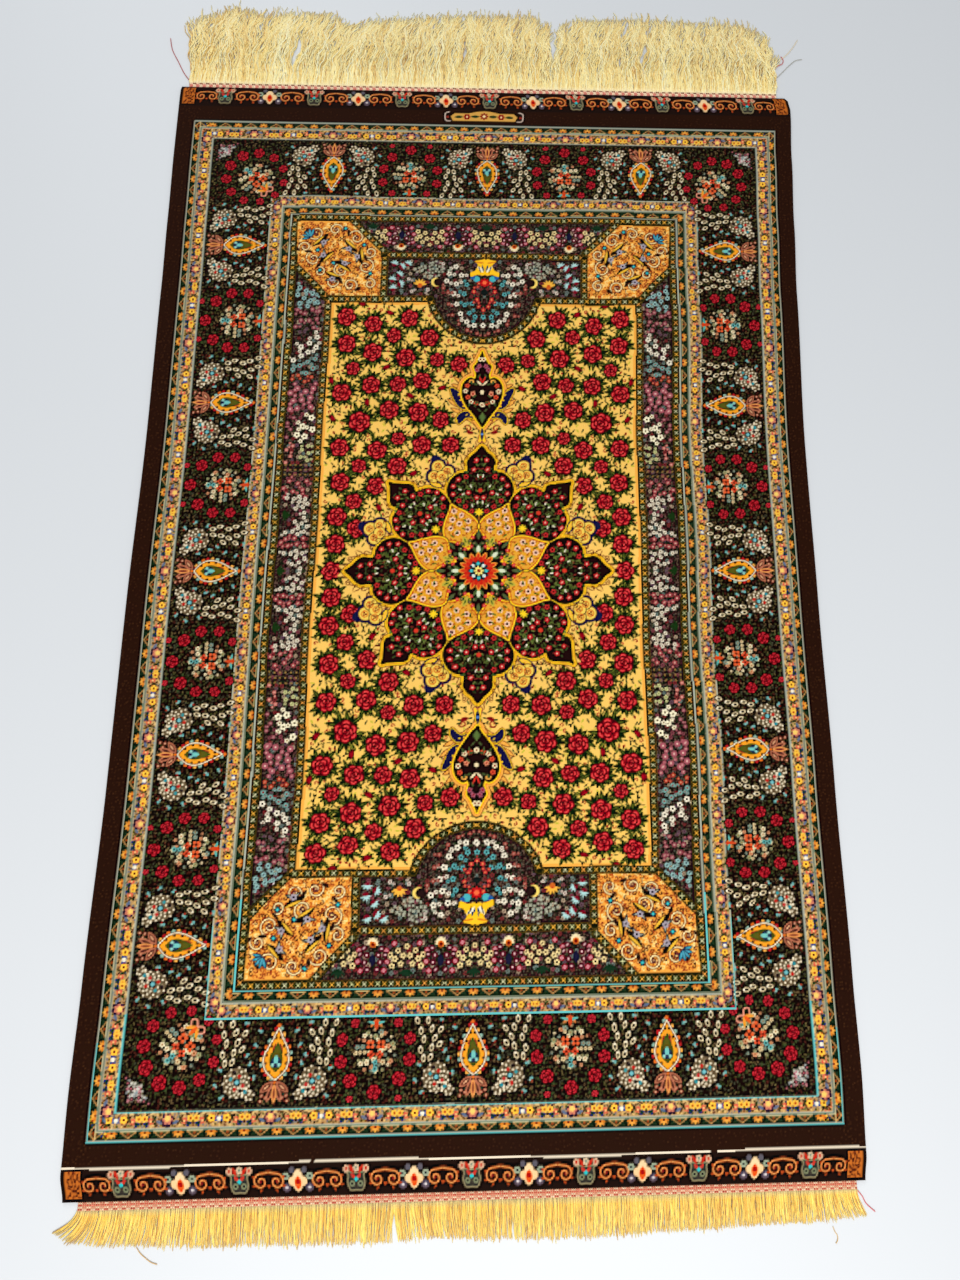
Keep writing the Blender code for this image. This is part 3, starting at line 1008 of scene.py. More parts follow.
# The wide strip and its lunette: a gold vase of flowers in a ring of blossoms, lace and crescents
posy(4.0, 5, SOFT_WHITE, (70, 40, 50), (
    (29, 372), (35, 360), (38, 347), (34, 334), (29, 322), (20, 312), (11, 307), (0, 307),
    (36, 384), (44, 374), (47, 364),
))
posy(3.6, 5, (96, 176, 180), (30, 50, 60), (
    (22, 359), (25, 347), (24, 333), (17, 323), (10, 318), (0, 318), (15, 335),
))
posy(3.0, 5, (160, 76, 72), (216, 190, 170), (
    (45, 349), (44, 334), (39, 320), (30, 309), (19, 301), (7, 297), (51, 354),
))
posy(3.2, 5, (204, 62, 66), (246, 196, 120), (
    (9, 340), (13, 350), (6, 331), (0, 327), (7, 361),
))
vase = pen.at(381j)
half_vase = smooth([-8j, 9 - 8j, 17 - 11j, 18 - 5j, 12 - 2j, 9 + 6j, 13 + 11j, 6 + 13j, 13j], True, 3)
vase.disc(-32j, 4.0, (26, 34, 36))
for side in vase.both():
    side.disc(10 - 14j, 4.2, (84, 180, 190))
    side.disc(15 - 12j, 2.8, (60, 110, 170))
    side.shape(half_vase, (252, 200, 50))
    side.leaf(2 - 5j, 9 + 4j, 4.0, SOFT_WHITE)
    side.leaf(1 - 4j, 4 + 6j, 2.0, (80, 110, 120))
    side.leaf(5 - 6j, 8 + 5j, 1.0, (40, 30, 30))
    side.line([3 + 8.6j, 12 + 9.6j], 1.0, (200, 110, 40))
vase.petals(-19j, 6.4, 8, 0.3, (196, 34, 40))
vase.petals(-19j, 3.0, 6, 0.3, (244, 120, 80))
for spot in scatter((37.0, 362.0), (92.0, 395.0), 4.6):
    if abs(spot.real - 64.0) / 27.0 + abs(spot.imag - 380.0) / 17.0 < 1.0:
        pen.at(spot, 45).petals(0.0, 2.1, 4, 0.6, (172, 176, 160))
crescent = pen.at(60 + 362j, 20)
crescent.disc(0.0, 6.4, (244, 214, 120))
crescent.disc(-2.4 + 1j, 5.4, STRIP_GROUND)
for angle in (20, 50, 80, 110, 140, 170):
    pen.leaf(80 + 358j, 80 + 358j + cmath.rect(9.0, math.radians(angle)), 3.0, (240, 184, 80))
pen.disc(80 + 357j, 3.0, (206, 110, 50))
for u, v, turn in (
    (112, 388, 20), (102, 384, 60), (95, 388, 30), (105, 373, 40), (114, 366, 10), (103, 360, 70),
    (113, 355, 0),
):
    bloom = pen.at(complex(u, v), turn)
    bloom.disc(-2j, 3.0, (130, 24, 56))
    for angle in (10, 50, 90, 130, 170):
        bloom.leaf(-1j, cmath.rect(5.6, math.radians(angle)) - 1j, 2.0, (176, 216, 214))
posy(2.8, 5, (226, 214, 200), (80, 50, 60), (
    (70, 352), (90, 350), (52, 388), (94, 366),
))

# The gold corner panel: arabesque scrolls with leaves and small flowers
PANEL = [234 + 446j, 170 + 446j, 129 + 404j, 129 + 344j, 192 + 346j, 232 + 388j]
PANEL_MIDDLE = 181 + 395j
PANEL_SCROLL = (250, 226, 160)
PANEL_SHADE = (190, 104, 44)
pen.shape(PANEL, CROSS_GROUND, 8.8)
panel_band = [point + 4.6 * (point - PANEL_MIDDLE) / abs(point - PANEL_MIDDLE) for point in PANEL]
cross_band(panel_band[1:4] + [panel_band[3] + 2j], 8.0, 6.7)
cross_band(panel_band[3:], 8.0, 6.7)
pen.shape(PANEL, PANEL_GROUND)
before = chart.colours.copy()
for spot in scatter((130.0, 345.0), (234.0, 446.0), 4.4):
    twirl = pen.at(spot, draw.uniform(0, 360), flip=draw.random() < 0.5)
    colour = (PANEL_SHADE, PANEL_SCROLL, (96, 40, 24), (150, 60, 34))[draw.integers(0, 4)]
    twirl.line(spiral(2.9, 0.8, steps=7), 1.0, colour)
for u, v, radius, turn, flip in (
    (160, 424, 10, 20, 0), (210, 430, 11, 200, 1), (148, 384, 11, 100, 0), (212, 394, 10, 250, 1),
    (166, 358, 9, 40, 1), (188, 362, 8, 160, 0), (178, 378, 10, 270, 1), (142, 404, 8, 140, 1),
    (223, 410, 8, 330, 0), (186, 434, 9, 10, 1), (142, 360, 8, 60, 0), (204, 376, 7, 60, 0),
):
    scroll = pen.at(complex(u, v), turn, flip=bool(flip))
    scroll.line(spiral(radius, 1.3, steps=18), 3.0, (120, 54, 28))
    scroll.line(spiral(radius, 1.3, steps=18), 1.5, (255, 238, 184))
    scroll.leaf(complex(radius, -2), complex(radius + 3, 7), 3.8, (70, 36, 24))
    scroll.at(0.0).blossom(0.0, 0.30 * radius, 5, (112, 50, 56), (246, 222, 150))
for u, v, turn in (
    (168, 410, 30), (198, 398, 120), (174, 386, 200), (202, 418, 300), (156, 398, 70),
    (188, 368, 10),
):
    spray = pen.at(complex(u, v), turn, 1.05)
    spray.leaf(-12 - 1j, 11 + 6j, 7.0, (30, 18, 14))
    spray.leaf(-8 + 2.4j, 10 + 6.4j, 3.0, (238, 190, 70))
    for side in spray.both():
        side.leaf(-1j, 8 - 6j, 3.4, (56, 54, 56))
        side.leaf(0.6 - 1.4j, 6 - 5j, 1.3, (196, 196, 180))
    spray.blossom(-2j, 3.6, 5, (176, 168, 180), (60, 50, 80))
for u, v in ((187, 388), (207, 406), (150, 414), (217, 430), (142, 374), (174, 436), (204, 378)):
    pen.at(complex(u, v)).petals(0.0, 3.8, 6, 0.4, (52, 42, 66))
    pen.disc(complex(u, v), 1.8, TURQUOISE)
fan = pen.at(216 + 424j, -45)
for angle in (30, 60, 90, 120, 150):
    fan.leaf(0j, cmath.rect(12.0, math.radians(angle)), 4.4, (40, 60, 90))
    fan.leaf(1j, cmath.rect(11.0, math.radians(angle)), 2.6, (84, 170, 190))
keep_inside(PANEL, before)

# Bands of crosses: one row around the strips, two rows of smaller ones around the field
cross_band([complex(237.7, 0), complex(237.7, 451.7), complex(0, 451.7)], 8.4, 6.7)
cross_band([complex(0, 399.5), complex(124, 399.5)], 8.4, 6.7)
cross_band([complex(124.6, 398), complex(124.6, 344)], 8.4, 6.7)
cross_band([complex(192.4, 0), complex(192.4, 340.4), complex(70, 340.4)], 8.4, 6.7)
arc = [cmath.rect(LUNETTE_RADIUS - 4.6, math.radians(angle)) for angle in range(-14, -96, -6)]
cross_band([LUNETTE_MIDDLE + point for point in arc], 8.4, 6.7)

# The guard bands, inner and outer, share their lines and their rows of small motifs
LINE_GREY = (170, 176, 164)
LINE_WIDTH = 1.5
INNER_FIRST_LINE = (243.0, 456.5)
INNER_OUTER_LINE = (269.3, 482.3)
TAN = (190, 154, 110)
TAN_LEAVES = ((60, 50, 30), (84, 96, 50), (232, 196, 132), (96, 60, 40), (120, 122, 138))
BAND_GREEN = (40, 62, 40)
BEIGE = (212, 190, 138)
STEEL_BLUE = (110, 116, 150)


def guard_line(half, width, double=False):
    """A pale line around the rug at some half sizes, or two thin ones side by side."""
    u, v = half
    if double:
        chart.frame((u + width, v + width), (u - width, v - width), LINE_GREY)
        chart.frame((u + 0.3 * width, v + 0.3 * width), (u - 0.3 * width, v - 0.3 * width), (96, 100, 84))
    else:
        chart.frame((u + 0.5 * width, v + 0.5 * width), (u - 0.5 * width, v - 0.5 * width), LINE_GREY)


def along_band(half, pitch, motif):
    """Calls motif with a needle at every pitch, along the end and then along the side.

    The needle's own along axis points away from the middle of the rug.
    """
    u, v = half
    for length, place, turn in ((u, lambda way: complex(way, v), 0), (v, lambda way: complex(u, way), -90)):
        count = round(length / pitch)
        for number in range(count + 1):
            motif(pen.at(place(length * number / (count + 0.18)), turn), number)


def tan_motif(scale):
    """The flowers of a wide guard band, by turns around a plum palmette and a blue blossom."""

    def motif(needle, number):
        needle = needle.at(0.0, size=scale)
        if number % 2 == 0:
            needle.petals(1j, 7.0, 7, 0.3, (84, 50, 74))
            needle.petals(0j, 5.2, 6, 0.3, (206, 130, 110))
            needle.petals(-1j, 3.2, 5, 0.3, (240, 206, 120))
            for side in needle.both():
                side.leaf(5 + 4j, 11 + 1j, 3.0, STEEL_BLUE)
        else:
            for side in needle.both():
                side.disc(3 + 0j, 2.6, STEEL_BLUE)
                side.disc(7.5 - 0.5j, 4.0, (200, 110, 46))
                side.blossom(7.5 - 0.5j, 3.9, 5, (248, 204, 84), (160, 70, 36))
            needle.disc(0.0, 2.2, SOFT_WHITE)
        for side in needle.both():
            side.blossom(16.5 + 1.5j, 3.4, 5, (222, 120, 90), (240, 200, 140))
            for place in (20 + 5.5j, 22 + 3.5j, 19.4 + 3j):
                side.disc(place, 1.5, (70, 76, 128))
            side.leaf(11 - 4j, 15 + 3j, 2.2, LEAF_GREEN)
            side.line(smooth([10 + 5j, 15 - 4j, 20 - 5j, 25 + 4j]), 1.1, (92, 54, 30))
            side.blossom(22.5 - 1j, 3.6, 5, (244, 196, 84), (180, 80, 40))
            side.leaf(18 + 2j, 23 + 6j, 2.2, LEAF_GREEN)
            side.leaf(12 - 6j, 18 - 5j, 2.0, (228, 196, 140))

    return motif


def green_motif(needle, number):
    """Orange palmettes by turns with beige-lined triangles."""
    if number % 2:
        for side in needle.both():
            side.line([-3j, 7.5 - 3j], 1.0, BEIGE)
            side.line([complex(0, 2.6), complex(7.0, -2.6)], 1.2, (198, 146, 96))
        needle.disc(-1j, 1.6, (150, 90, 50))
    else:
        for side in needle.both():
            side.leaf(-3j, 5.6 - 1j, 2.6, (214, 130, 60))
            side.leaf(-3j, 4.2 + 2.2j, 2.4, (226, 150, 70))
            side.leaf(4 + 3j, 8 - 1j, 1.8, (22, 36, 18))
        needle.leaf(-3.4j, 3.2j, 3.2, (236, 172, 84))
        needle.disc(-2j, 1.1, (130, 50, 30))


chart.frame(INNER_PIECE, INNER_CROSSES, TAN)
chart.frame((253.0, 466.0), (243.5, 457.0), BAND_GREEN)
leafy_ground((254.0, 2.0), (269.0, 480.0), 3.0, TAN_LEAVES)
leafy_ground((2.0, 468.0), (262.0, 481.0), 3.0, TAN_LEAVES)
along_band((261.5, 474.5), 47.5, tan_motif(0.86))
along_band((248.3, 461.5), 16.5, green_motif)
guard_line(INNER_FIRST_LINE, LINE_WIDTH)
guard_line((253.8, 466.8), LINE_WIDTH, double=True)
guard_line(INNER_OUTER_LINE, LINE_WIDTH)


def ring_lines(outer, inner):
    """Places from the outer edge in to the hole, across the hole and out again."""
    side = even_lines(inner, outer)
    return [-place for place in reversed(side)] + even_lines(-inner, inner)[1:-1] + side


finish_pile(Sheet(
    "pile_inner_bands",
    ring_lines(INNER_PIECE[0], FIELD_PIECE[0]),
    ring_lines(INNER_PIECE[1], FIELD_PIECE[1]),
    FIELD_PIECE,
))

# The main border: rings of crimson roses around clusters of small blossoms, by turns with upright
# drops that have a beaded paisley on each side, on a dark ground full of fine leaf scrolls.
BORDER_OUTER = (347.0, 565.5)
BORDER_GROUND = (27, 11, 8)
BORDER_LEAVES = ((78, 86, 46), (116, 110, 72), (54, 68, 36), (124, 108, 78), (92, 44, 36), (76, 84, 68))
WINE_ROSE = ((222, 70, 84), (160, 10, 34), (70, 0, 16))
BORDER_PEACH = (186, 120, 96)

chart.frame(BORDER_OUTER, INNER_PIECE, BORDER_GROUND)
leafy_ground((271.0, 1.0), (346.0, 564.0), 3.7, BORDER_LEAVES)
leafy_ground((1.0, 484.5), (271.0, 564.0), 3.7, BORDER_LEAVES)


def seed(needle, colour=CREAM):
    """An almond outline, open and pointed at one end, with a white lip."""
    needle.leaf(-5.4j, 5.4j, 8.2, BORDER_GROUND)
    needle.leaf(-4.6j, 5.0j, 5.8, colour)
    needle.disc(-0.6j, 2.6, colour)
    needle.leaf(-2.2j, 3.0j, 2.8, (30, 16, 18))
    needle.disc(-2.6j, 1.3, SOFT_WHITE)


def turquoise_bloom(needle):
    """A small two-petalled flower with a russet calyx."""
    needle.disc(-1.0 + 1.0j, 2.1, (110, 176, 178))
    needle.disc(1.6 - 0.4j, 1.9, (140, 180, 176))
    needle.disc(0.2 - 2.6j, 1.5, (166, 62, 48))


RING_ROSES = ((22, -23, 4.8), (34, -8, 6.2), (34, 12, 6.6), (24, 30, 7.2), (24, 47, 3.4))
POSY_COLOURS = ((226, 208, 168), (160, 168, 132), (242, 230, 196), (216, 156, 124), (136, 164, 156))


def posy_ring(needle):
    """A round posy of small blossoms with orange flowers in its middle."""
    needle.disc(0.0, 22.0, (40, 30, 20))
    for radius, count in ((20.0, 20), (15.2, 15), (10.4, 10), (5.6, 5)):
        for number in range(count):
            spot = cmath.rect(radius, math.tau * (number + 0.25) / count) + cmath.rect(1.1, 2.4 * number)
            size = 2.3 + 0.7 * math.sin(4.1 * number)
            needle.at(spot, 31 * number).blossom(0.0, size, 5, POSY_COLOURS[number % 5], (150, 100, 60))
    for spot in (12j, 18j):
        needle.at(spot).blossom(0.0, 3.0, 5, (110, 180, 180), (40, 60, 60))
    for side in needle.both():
        side.at(5.6 - 6j, 45).blossom(0.0, 5.0, 4, (230, 104, 62), (120, 30, 24))
        side.at(4.6 + 4j).blossom(0.0, 4.0, 4, (226, 90, 60), (120, 30, 24))


def border_rose(needle, radius):
    """A rose with small leaves around it, on the dark ground."""
    for number in range(6):
        tip = cmath.rect(radius + 4.0, 1.05 * number)
        needle.leaf(0.5 * tip, tip, 2.4, (70, 90, 54))
    needle.disc(0.0, radius + 0.8, BORDER_GROUND)
    rose(needle.at(0.0, size=radius), *WINE_ROSE)


def rose_ring(needle):
    """Roses in a ring that opens towards the field, around a posy."""
    for x, y, radius in RING_ROSES:
        for side in needle.both():
            border_rose(side.at(complex(x, y), 13 * x), radius)
    border_rose(needle.at(41j), 7.2)
    posy_ring(needle.at(3j, size=0.94))
    for side in needle.both():
        side.leaf(-27j, 6 - 19j, 3.4, (226, 140, 80))
        side.leaf(-22j, 9 - 25j, 2.8, (100, 180, 176))
    needle.leaf(-28j, -16j, 4.4, (206, 84, 50))


DROP_HALF = ((0, -34), (5, -26), (11, -15), (14, -4), (12, 6), (6, 13), (0, 17))
PAISLEY = smooth([
    11j, 7 + 9j, 12 + 1j, 10 - 9j, 1 - 14j, -9 - 11j, -11 - 1j, -8 + 8j, -10 + 14j, -4 + 17j,
], True, 3)


def paisley(needle):
    """A leaning leaf beaded all over with white, with a few coloured flowers."""
    needle.shape(PAISLEY, BORDER_GROUND, 2.6)
    needle.shape(PAISLEY, (118, 104, 84), 0.8)
    for shrink, turn in ((1.04, 0), (0.80, 1), (0.56, 0), (0.30, 1)):
        for bead in PAISLEY[turn:: 2 if shrink > 0.4 else 4]:
            needle.disc(shrink * bead, 1.15, (234, 222, 198))
    for colour, places in (
        ((186, 70, 60), (4 + 3j, -4 - 6j)), ((186, 90, 84), (-4 + 3j,)),
        ((90, 150, 160), (4 - 7j, -4 + 9j)), ((64, 50, 50), (6j, -1 - 11j)),
    ):
        for place in places:
            needle.disc(place, 1.8, colour)
    needle.disc(-2j, 3.2, (60, 60, 66))
    needle.disc(-2j, 2.1, (120, 190, 196))


def drop(needle):
    """An upright pointed oval that stands on a pair of leaves and a crown."""
    outline = smooth(mirrored(DROP_HALF), True, 4)
    needle.shape(outline, BORDER_GROUND, 4.0)
    for number, point in enumerate(outline[::2]):
        colour = ((226, 120, 50), (190, 44, 48), (236, 176, 90), (150, 190, 176))[number % 4]
        needle.disc(1.02 * (point + 4j) - 4j, 2.1, colour)
    needle.shape(outline, (60, 20, 24), -0.4)
    needle.shape(outline, (250, 240, 214), -0.9)
    needle.shape(outline, (112, 62, 26), -2.3)
    needle.shape(outline, (242, 166, 54), -3.0)
    for side in needle.both():
        for place in (2 - 24j, 6 - 16j, 9.5 - 8j, 10 - 0j, 6 + 8j):
            side.disc(place, 1.3, (84, 50, 24))
        side.leaf(2 - 19j, 5 - 9j, 2.2, (150, 60, 40))
    needle.shape(outline, (98, 96, 34), -7.4)
    needle.disc(-1j, 5.0, (30, 50, 84))
    for side in needle.both():
        side.disc(3.0 + 1.5j, 1.9, (150, 206, 196))
    needle.leaf(-8j, 2j, 5.0, (120, 196, 190))
    needle.disc(1.6j, 1.6, (40, 40, 90))
    for side in needle.both():
        side.leaf(1 + 16j, 15 + 28j, 9.0, BORDER_GROUND)
        side.leaf(1 + 17j, 14 + 27j, 7.0, BORDER_PEACH)
        side.leaf(3 + 18.6j, 12 + 25.6j, 4.4, (112, 62, 52))
        side.leaf(5 + 20j, 10.5 + 24.6j, 1.8, (226, 176, 140))
        for place in (8 + 32j, 12 + 30j, 13 + 35j):
            side.disc(place, 1.9, (150, 74, 60))
            side.disc(place, 0.9, (226, 190, 160))
    for side in needle.both():
        side.leaf(1 + 20j, 7 + 36j, 6.0, BORDER_PEACH)
        side.leaf(2 + 23j, 6 + 33j, 2.6, (112, 62, 52))
    needle.leaf(19j, 38j, 5.4, (230, 160, 96))
    needle.leaf(22j, 34j, 2.2, (150, 74, 60))
    for side in needle.both():
        paisley(side.at(36 + 19j, 24, 1.06))
        for x, y in (
            (32, -37), (18, -30), (22, -17), (25, 0), (21, 13), (54, 5), (58, 20), (51, 31),
            (29, -8),
        ):
            turquoise_bloom(side.at(complex(x, y), 40 * x, 0.80))
        for x, y, turn in (
            (57, -37, 30), (46, -37, 10), (42, -29, -5), (53, -27, 15), (50, -19, 5), (39, -20, -15),
            (53, -9, 20), (42, -11, 0), (50, -1, 10), (33, -28, -20), (34, -14, -25), (43, -2, -10),
        ):
            seed(side.at(complex(x, y), turn - 12, 0.88))


for place, turn in ((98 + 512j, 0), (297 + 311j, -90), (297 + 104j, -90)):
    rose_ring(pen.at(place, turn))
corner_ring = pen.at(291 + 509j, -45)
for number in range(11):
    angle = math.tau * (number + 0.5) / 11 + 0.5 * math.pi
    border_rose(corner_ring.at(cmath.rect(36.0, angle), 40 * number), 6.2 + 1.2 * math.sin(angle))
posy_ring(corner_ring.at(-2j))
for place, turn in (
    (524j, 0), (complex(196.0, 524.0), 0), (complex(307.5, 411.0), -90),
    (complex(307.5, 207.0), -90), (complex(307.5, 0.0), -90),
):
    drop(pen.at(place, turn))

# White lace with dark hearts in the outer corner, an orange spray and a ribbon in the inner one
LACE = ((186, 184, 176), (206, 204, 196), (150, 156, 160), (206, 204, 196), (190, 130, 140))
corner = pen.at(complex(332.0, 550.0), -45)
for side in corner.both():
    for number, spot in enumerate(scatter((0.0, -11.0), (24.0, 9.0), 2.9)):
        if spot.imag < 9.0 - spot.real and spot.imag > -11.0 + 0.4 * spot.real:
            side.at(spot, 40 * number).petals(0.0, 1.9, 5, 0.5, LACE[number % 5])
    for place in (6 - 2j, 12 - 3j, 17 - 5j, 2 + 4j):
        side.disc(place, 2.0, (44, 30, 36))
        side.disc(place, 1.0, PINK)
spray = pen.at(complex(276.0, 489.0), -45)
for side in spray.both():
    side.leaf(0j, 8 + 9j, 3.6, (236, 160, 70))
    side.line(smooth([0j, 5 - 4j, 9 - 1j, 6 + 3j]), 1.8, (236, 160, 140))
spray.leaf(0j, 12j, 4.0, (226, 110, 50))

BORDER_PIECE = (348.0, 566.0)
finish_pile(Sheet(
    "pile_main_border",
    ring_lines(BORDER_PIECE[0], INNER_PIECE[0]),
    ring_lines(BORDER_PIECE[1], INNER_PIECE[1]),
    INNER_PIECE,
))

# The outer bands: two guard bands, the plain dark border with small light specks painted on as glints of
# its pile, and a narrow panel of vases and scrolls across each end. The pile's outer edge rolls down to the
# floor.
PLAIN_BROWN = (46, 23, 13)
PANEL_BROWN = (36, 20, 16)
SCROLL_ORANGE = (190, 84, 38)
SCROLL_PALE = (240, 178, 112)
PANEL_FOOT = 615.5
PANEL_MIDDLE_ROW = 630.0
PANEL_PITCH = 56.3
OUTER_FIRST_LINE = (348.0, 566.3)
PLAIN_LINE = (372.8, 592.0)

chart.frame(WORK_HIGH, (373.0, 592.0), PLAIN_BROWN)
# Painted glints: small light specks over the plain border's pile, along the sides and across the ends.
for spot in scatter((374.0, 2.0), (395.0, 640.0), 3.4):
    if draw.random() < 0.5:
        pen.disc(spot, draw.uniform(0.4, 0.8), (80, 52, 30))
for spot in scatter((2.0, 594.0), (374.0, 614.0), 4.0):
    if draw.random() < 0.4:
        pen.disc(spot, draw.uniform(0.4, 0.7), (78, 52, 32))
chart.frame((373.5, 592.5), (363.5, 581.5), BAND_GREEN)
chart.frame((363.0, 581.0), BORDER_OUTER, TAN)
leafy_ground((349.0, 2.0), (362.0, 580.0), 3.0, TAN_LEAVES)
leafy_ground((2.0, 567.0), (362.0, 580.0), 3.0, TAN_LEAVES)
along_band((355.5, 573.5), 48.5, tan_motif(0.98))
along_band((368.5, 587.0), 16.0, green_motif)
guard_line(PLAIN_LINE, LINE_WIDTH)
guard_line((364.0, 582.2), 1.4, double=True)
guard_line(OUTER_FIRST_LINE, LINE_WIDTH)

chart.fill((0.0, PANEL_FOOT), (WORK_HIGH[0], 645.0), PANEL_BROWN)
panel = pen.at(complex(0.0, PANEL_MIDDLE_ROW))
chart.fill((376.0, 619.0), (391.0, 642.0), (196, 116, 50))
for spot in scatter((378.0, 621.0), (390.0, 641.0), 3.2):
    pen.at(spot, draw.uniform(0, 360)).leaf(-2.2 + 0j, 2.2 + 0j, 1.5, (108, 50, 24))


def little_vase(needle):
    """A grey-green vase with three cream flowers."""
    body = smooth([
        0 - 10j, 6 - 10j, 9 - 3j, 8 + 4j, 12 + 8j, 0 + 6j, -12 + 8j, -8 + 4j, -9 - 3j, -6 - 10j,
    ], True, 3)
    needle.shape(body, (156, 148, 118), 0.2)
    needle.shape(body, (74, 72, 66), -1.2)
    for side in needle.both():
        side.disc(4 - 4j, 2.6, (140, 150, 120))
        side.disc(4 - 4j, 1.2, (60, 60, 60))
        side.leaf(0 + 0j, 5 + 5j, 3.2, (206, 76, 66))
        side.blossom(9.5 + 9j, 3.3, 5, (216, 176, 150), (190, 80, 60))
        side.leaf(2 + 5j, 7 + 12j, 3.0, (200, 70, 52))
    needle.disc(0.0, 2.0, TURQUOISE)
    needle.blossom(9.5j, 3.2, 5, (222, 196, 168), (90, 130, 120))


def little_palmette(needle):
    """A cream and orange fan between pale stars and plum rounds."""
    for side in needle.both():
        side.blossom(11.5 + 4j, 3.7, 6, (156, 170, 150), (80, 90, 90))
        side.disc(11 - 6j, 4.0, (96, 84, 100))
        side.disc(11 - 6j, 1.5, (214, 206, 206))
        side.disc(6 + 9j, 2.6, (100, 98, 112))
        side.disc(4.8 - 0.5j, 4.4, (240, 204, 160))
    needle.leaf(-10j, 2j, 9.0, (240, 204, 160))
    needle.disc(4.6j, 4.6, (240, 210, 170))
    needle.leaf(-8j, 4j, 6.4, (226, 110, 54))
    needle.disc(-1j, 2.2, (190, 50, 36))


def scroll_pair(needle):
    """Two curls that turn their backs on each other, russet with a pale core and a leaf at the tip."""
    for side in needle.both():
        curl = side.at(7.6 - 0.4j)
        for width, colour in ((2.1, SCROLL_ORANGE), (1.0, SCROLL_PALE)):
            curl.line([-7.0 + 8.0j] + spiral(7.4, -1.35, start=100, steps=24), width, colour)
        for angle in (20, -40, -100, -160):
            tip = cmath.rect(9.4, math.radians(angle))
            curl.leaf(0.72 * tip, tip * cmath.rect(1.0, 0.3), 2.0, SCROLL_ORANGE)
        curl.disc(0.0, 1.4, (140, 44, 40))


for number in range(7):
    motif = little_palmette if number % 2 else little_vase
    motif(panel.at(PANEL_PITCH * number))
    if number < 6:
        scroll_pair(panel.at(PANEL_PITCH * (number + 0.5)))
scroll_pair(panel.at(361.0, size=0.9))

INSETS = (EDGE_ROUND, 0.35, 0.0, -WALL)
edge_lines = [SIDE - inset for inset in INSETS]
end_lines = [END - inset for inset in INSETS]


def rolled_lines(outer, inner):
    """Ring lines with the finer ones of a rolled edge outside them."""
    side = even_lines(inner, outer[0])[:-1] + outer
    return [-place for place in reversed(side)] + even_lines(-inner, inner)[1:-1] + side


finish_pile(Sheet(
    "pile_outer_bands",
    rolled_lines(edge_lines, BORDER_PIECE[0]),
    rolled_lines(end_lines, BORDER_PIECE[1]),
    BORDER_PIECE,
))

# The small gold plate in the plain border near the far end, with leaves and flowers on it
CARTOUCHE_LOW = (-60.0, 597.0)
CARTOUCHE_HIGH = (46.0, 617.0)
cartouche = Chart(CARTOUCHE_LOW, CARTOUCHE_HIGH, PLAIN_BROWN)
plate = Needle(cartouche, complex(-7.0, 606.5))
for side in plate.both():
    side.shape([0 - 7j, 40 - 7j, 43 + 0j, 38 + 5j, 20 + 5j, 8 + 8j, 0 + 8.5j], (214, 168, 92))
    side.leaf(6.0 + 0j, 17.0 + 0j, 4.0, LEAF_GREEN)
    side.blossom(22.0 - 0.5j, 4.4, 6, (160, 54, 42), (246, 224, 170))
    side.leaf(27.0 - 0.5j, 38.0 - 1.0j, 3.8, LEAF_GREEN)
    side.line(smooth([43 - 7j, 49 - 6j, 50 + 4j, 45 + 7j]), 1.8, (206, 190, 180))
    side.disc(47 - 1j, 2.0, (150, 60, 50))
plate.petals(0.5j, 5.6, 8, 0.4, (160, 54, 42))
plate.disc(0.5j, 2.0, (246, 224, 170))

# The foundation: silk warps and wefts under the pile. The design shows through it on the back, and
# beyond the pile it runs on under a narrow flat-woven strip at each end.
STRIP_DEPTH = 8.0
STRIP_TOP = 0.0012
FAR_STRIP = (-386.0, 384.0)
NEAR_STRIP = (-380.0, 386.0)
BACK_PITCH = 6.4
FOUNDATION_INSET = 0.4

half = SIDE - FOUNDATION_INSET
across = even_lines(-half, half, BACK_PITCH)
end = [END + FOUNDATION_INSET, END + 0.5 * STRIP_DEPTH, END + STRIP_DEPTH]
along = [-place for place in reversed(end)] + even_lines(0.7 - END, END - 0.7, BACK_PITCH) + end
back = Sheet("foundation", across, along)
back.move(back.work[:, 0], back.work[:, 1], np.zeros(len(back.work)))
bpy.ops.object.mode_set(mode="EDIT")
bpy.ops.mesh.select_all(action="SELECT")
bpy.ops.mesh.region_to_loop()
bpy.ops.mesh.extrude_edges_move(TRANSFORM_OT_translate={"value": (0.0, 0.0, 1000.0 * STRIP_TOP)})
bpy.ops.mesh.edge_face_add()
bpy.ops.mesh.select_all(action="SELECT")
bpy.ops.mesh.normals_make_consistent(inside=False)
bpy.ops.object.mode_set(mode="OBJECT")
found = back.points()
back.work = found[:, :2].copy()
u, v = found[:, 0].copy(), found[:, 1]
share = 0.5 + 0.5 * u / half
for ends, there in ((FAR_STRIP, v > END), (NEAR_STRIP, v < -END)):
    u[there] = (ends[0] + (ends[1] - ends[0]) * share)[there]
x, y = on_floor(u / 1000.0, v / 1000.0)
back.move(x, y, found[:, 2] / 1000.0)
back.piece.data.materials.append(silk_pile)
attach(back.piece, "root")
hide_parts("knotted_cloth")


DEEPENING = (1.12, 1.16, 1.24)
OUTLINING = 0.95


def knots_of(drawn):
    """A chart as one knot for each square millimetre, deeply dyed, darker along lighter shapes."""
    fine = drawn.colours
    knots = 0.25 * (fine[::2, ::2] + fine[1::2, ::2] + fine[::2, 1::2] + fine[1::2, 1::2])
    rows, columns = knots.shape[:2]
    wide = np.pad(knots, ((2, 2), (2, 2), (0, 0)), "symmetric")
    shifts = [(row, column) for row in (0, 2, 4) for column in (0, 2, 4)]
    around = sum(wide[row : row + rows, column : column + columns] for row, column in shifts)
    darker = OUTLINING * np.clip(around / 9.0 - knots, 0.0, None)
    return np.clip(knots - darker, 0.0, 1.0) ** DEEPENING


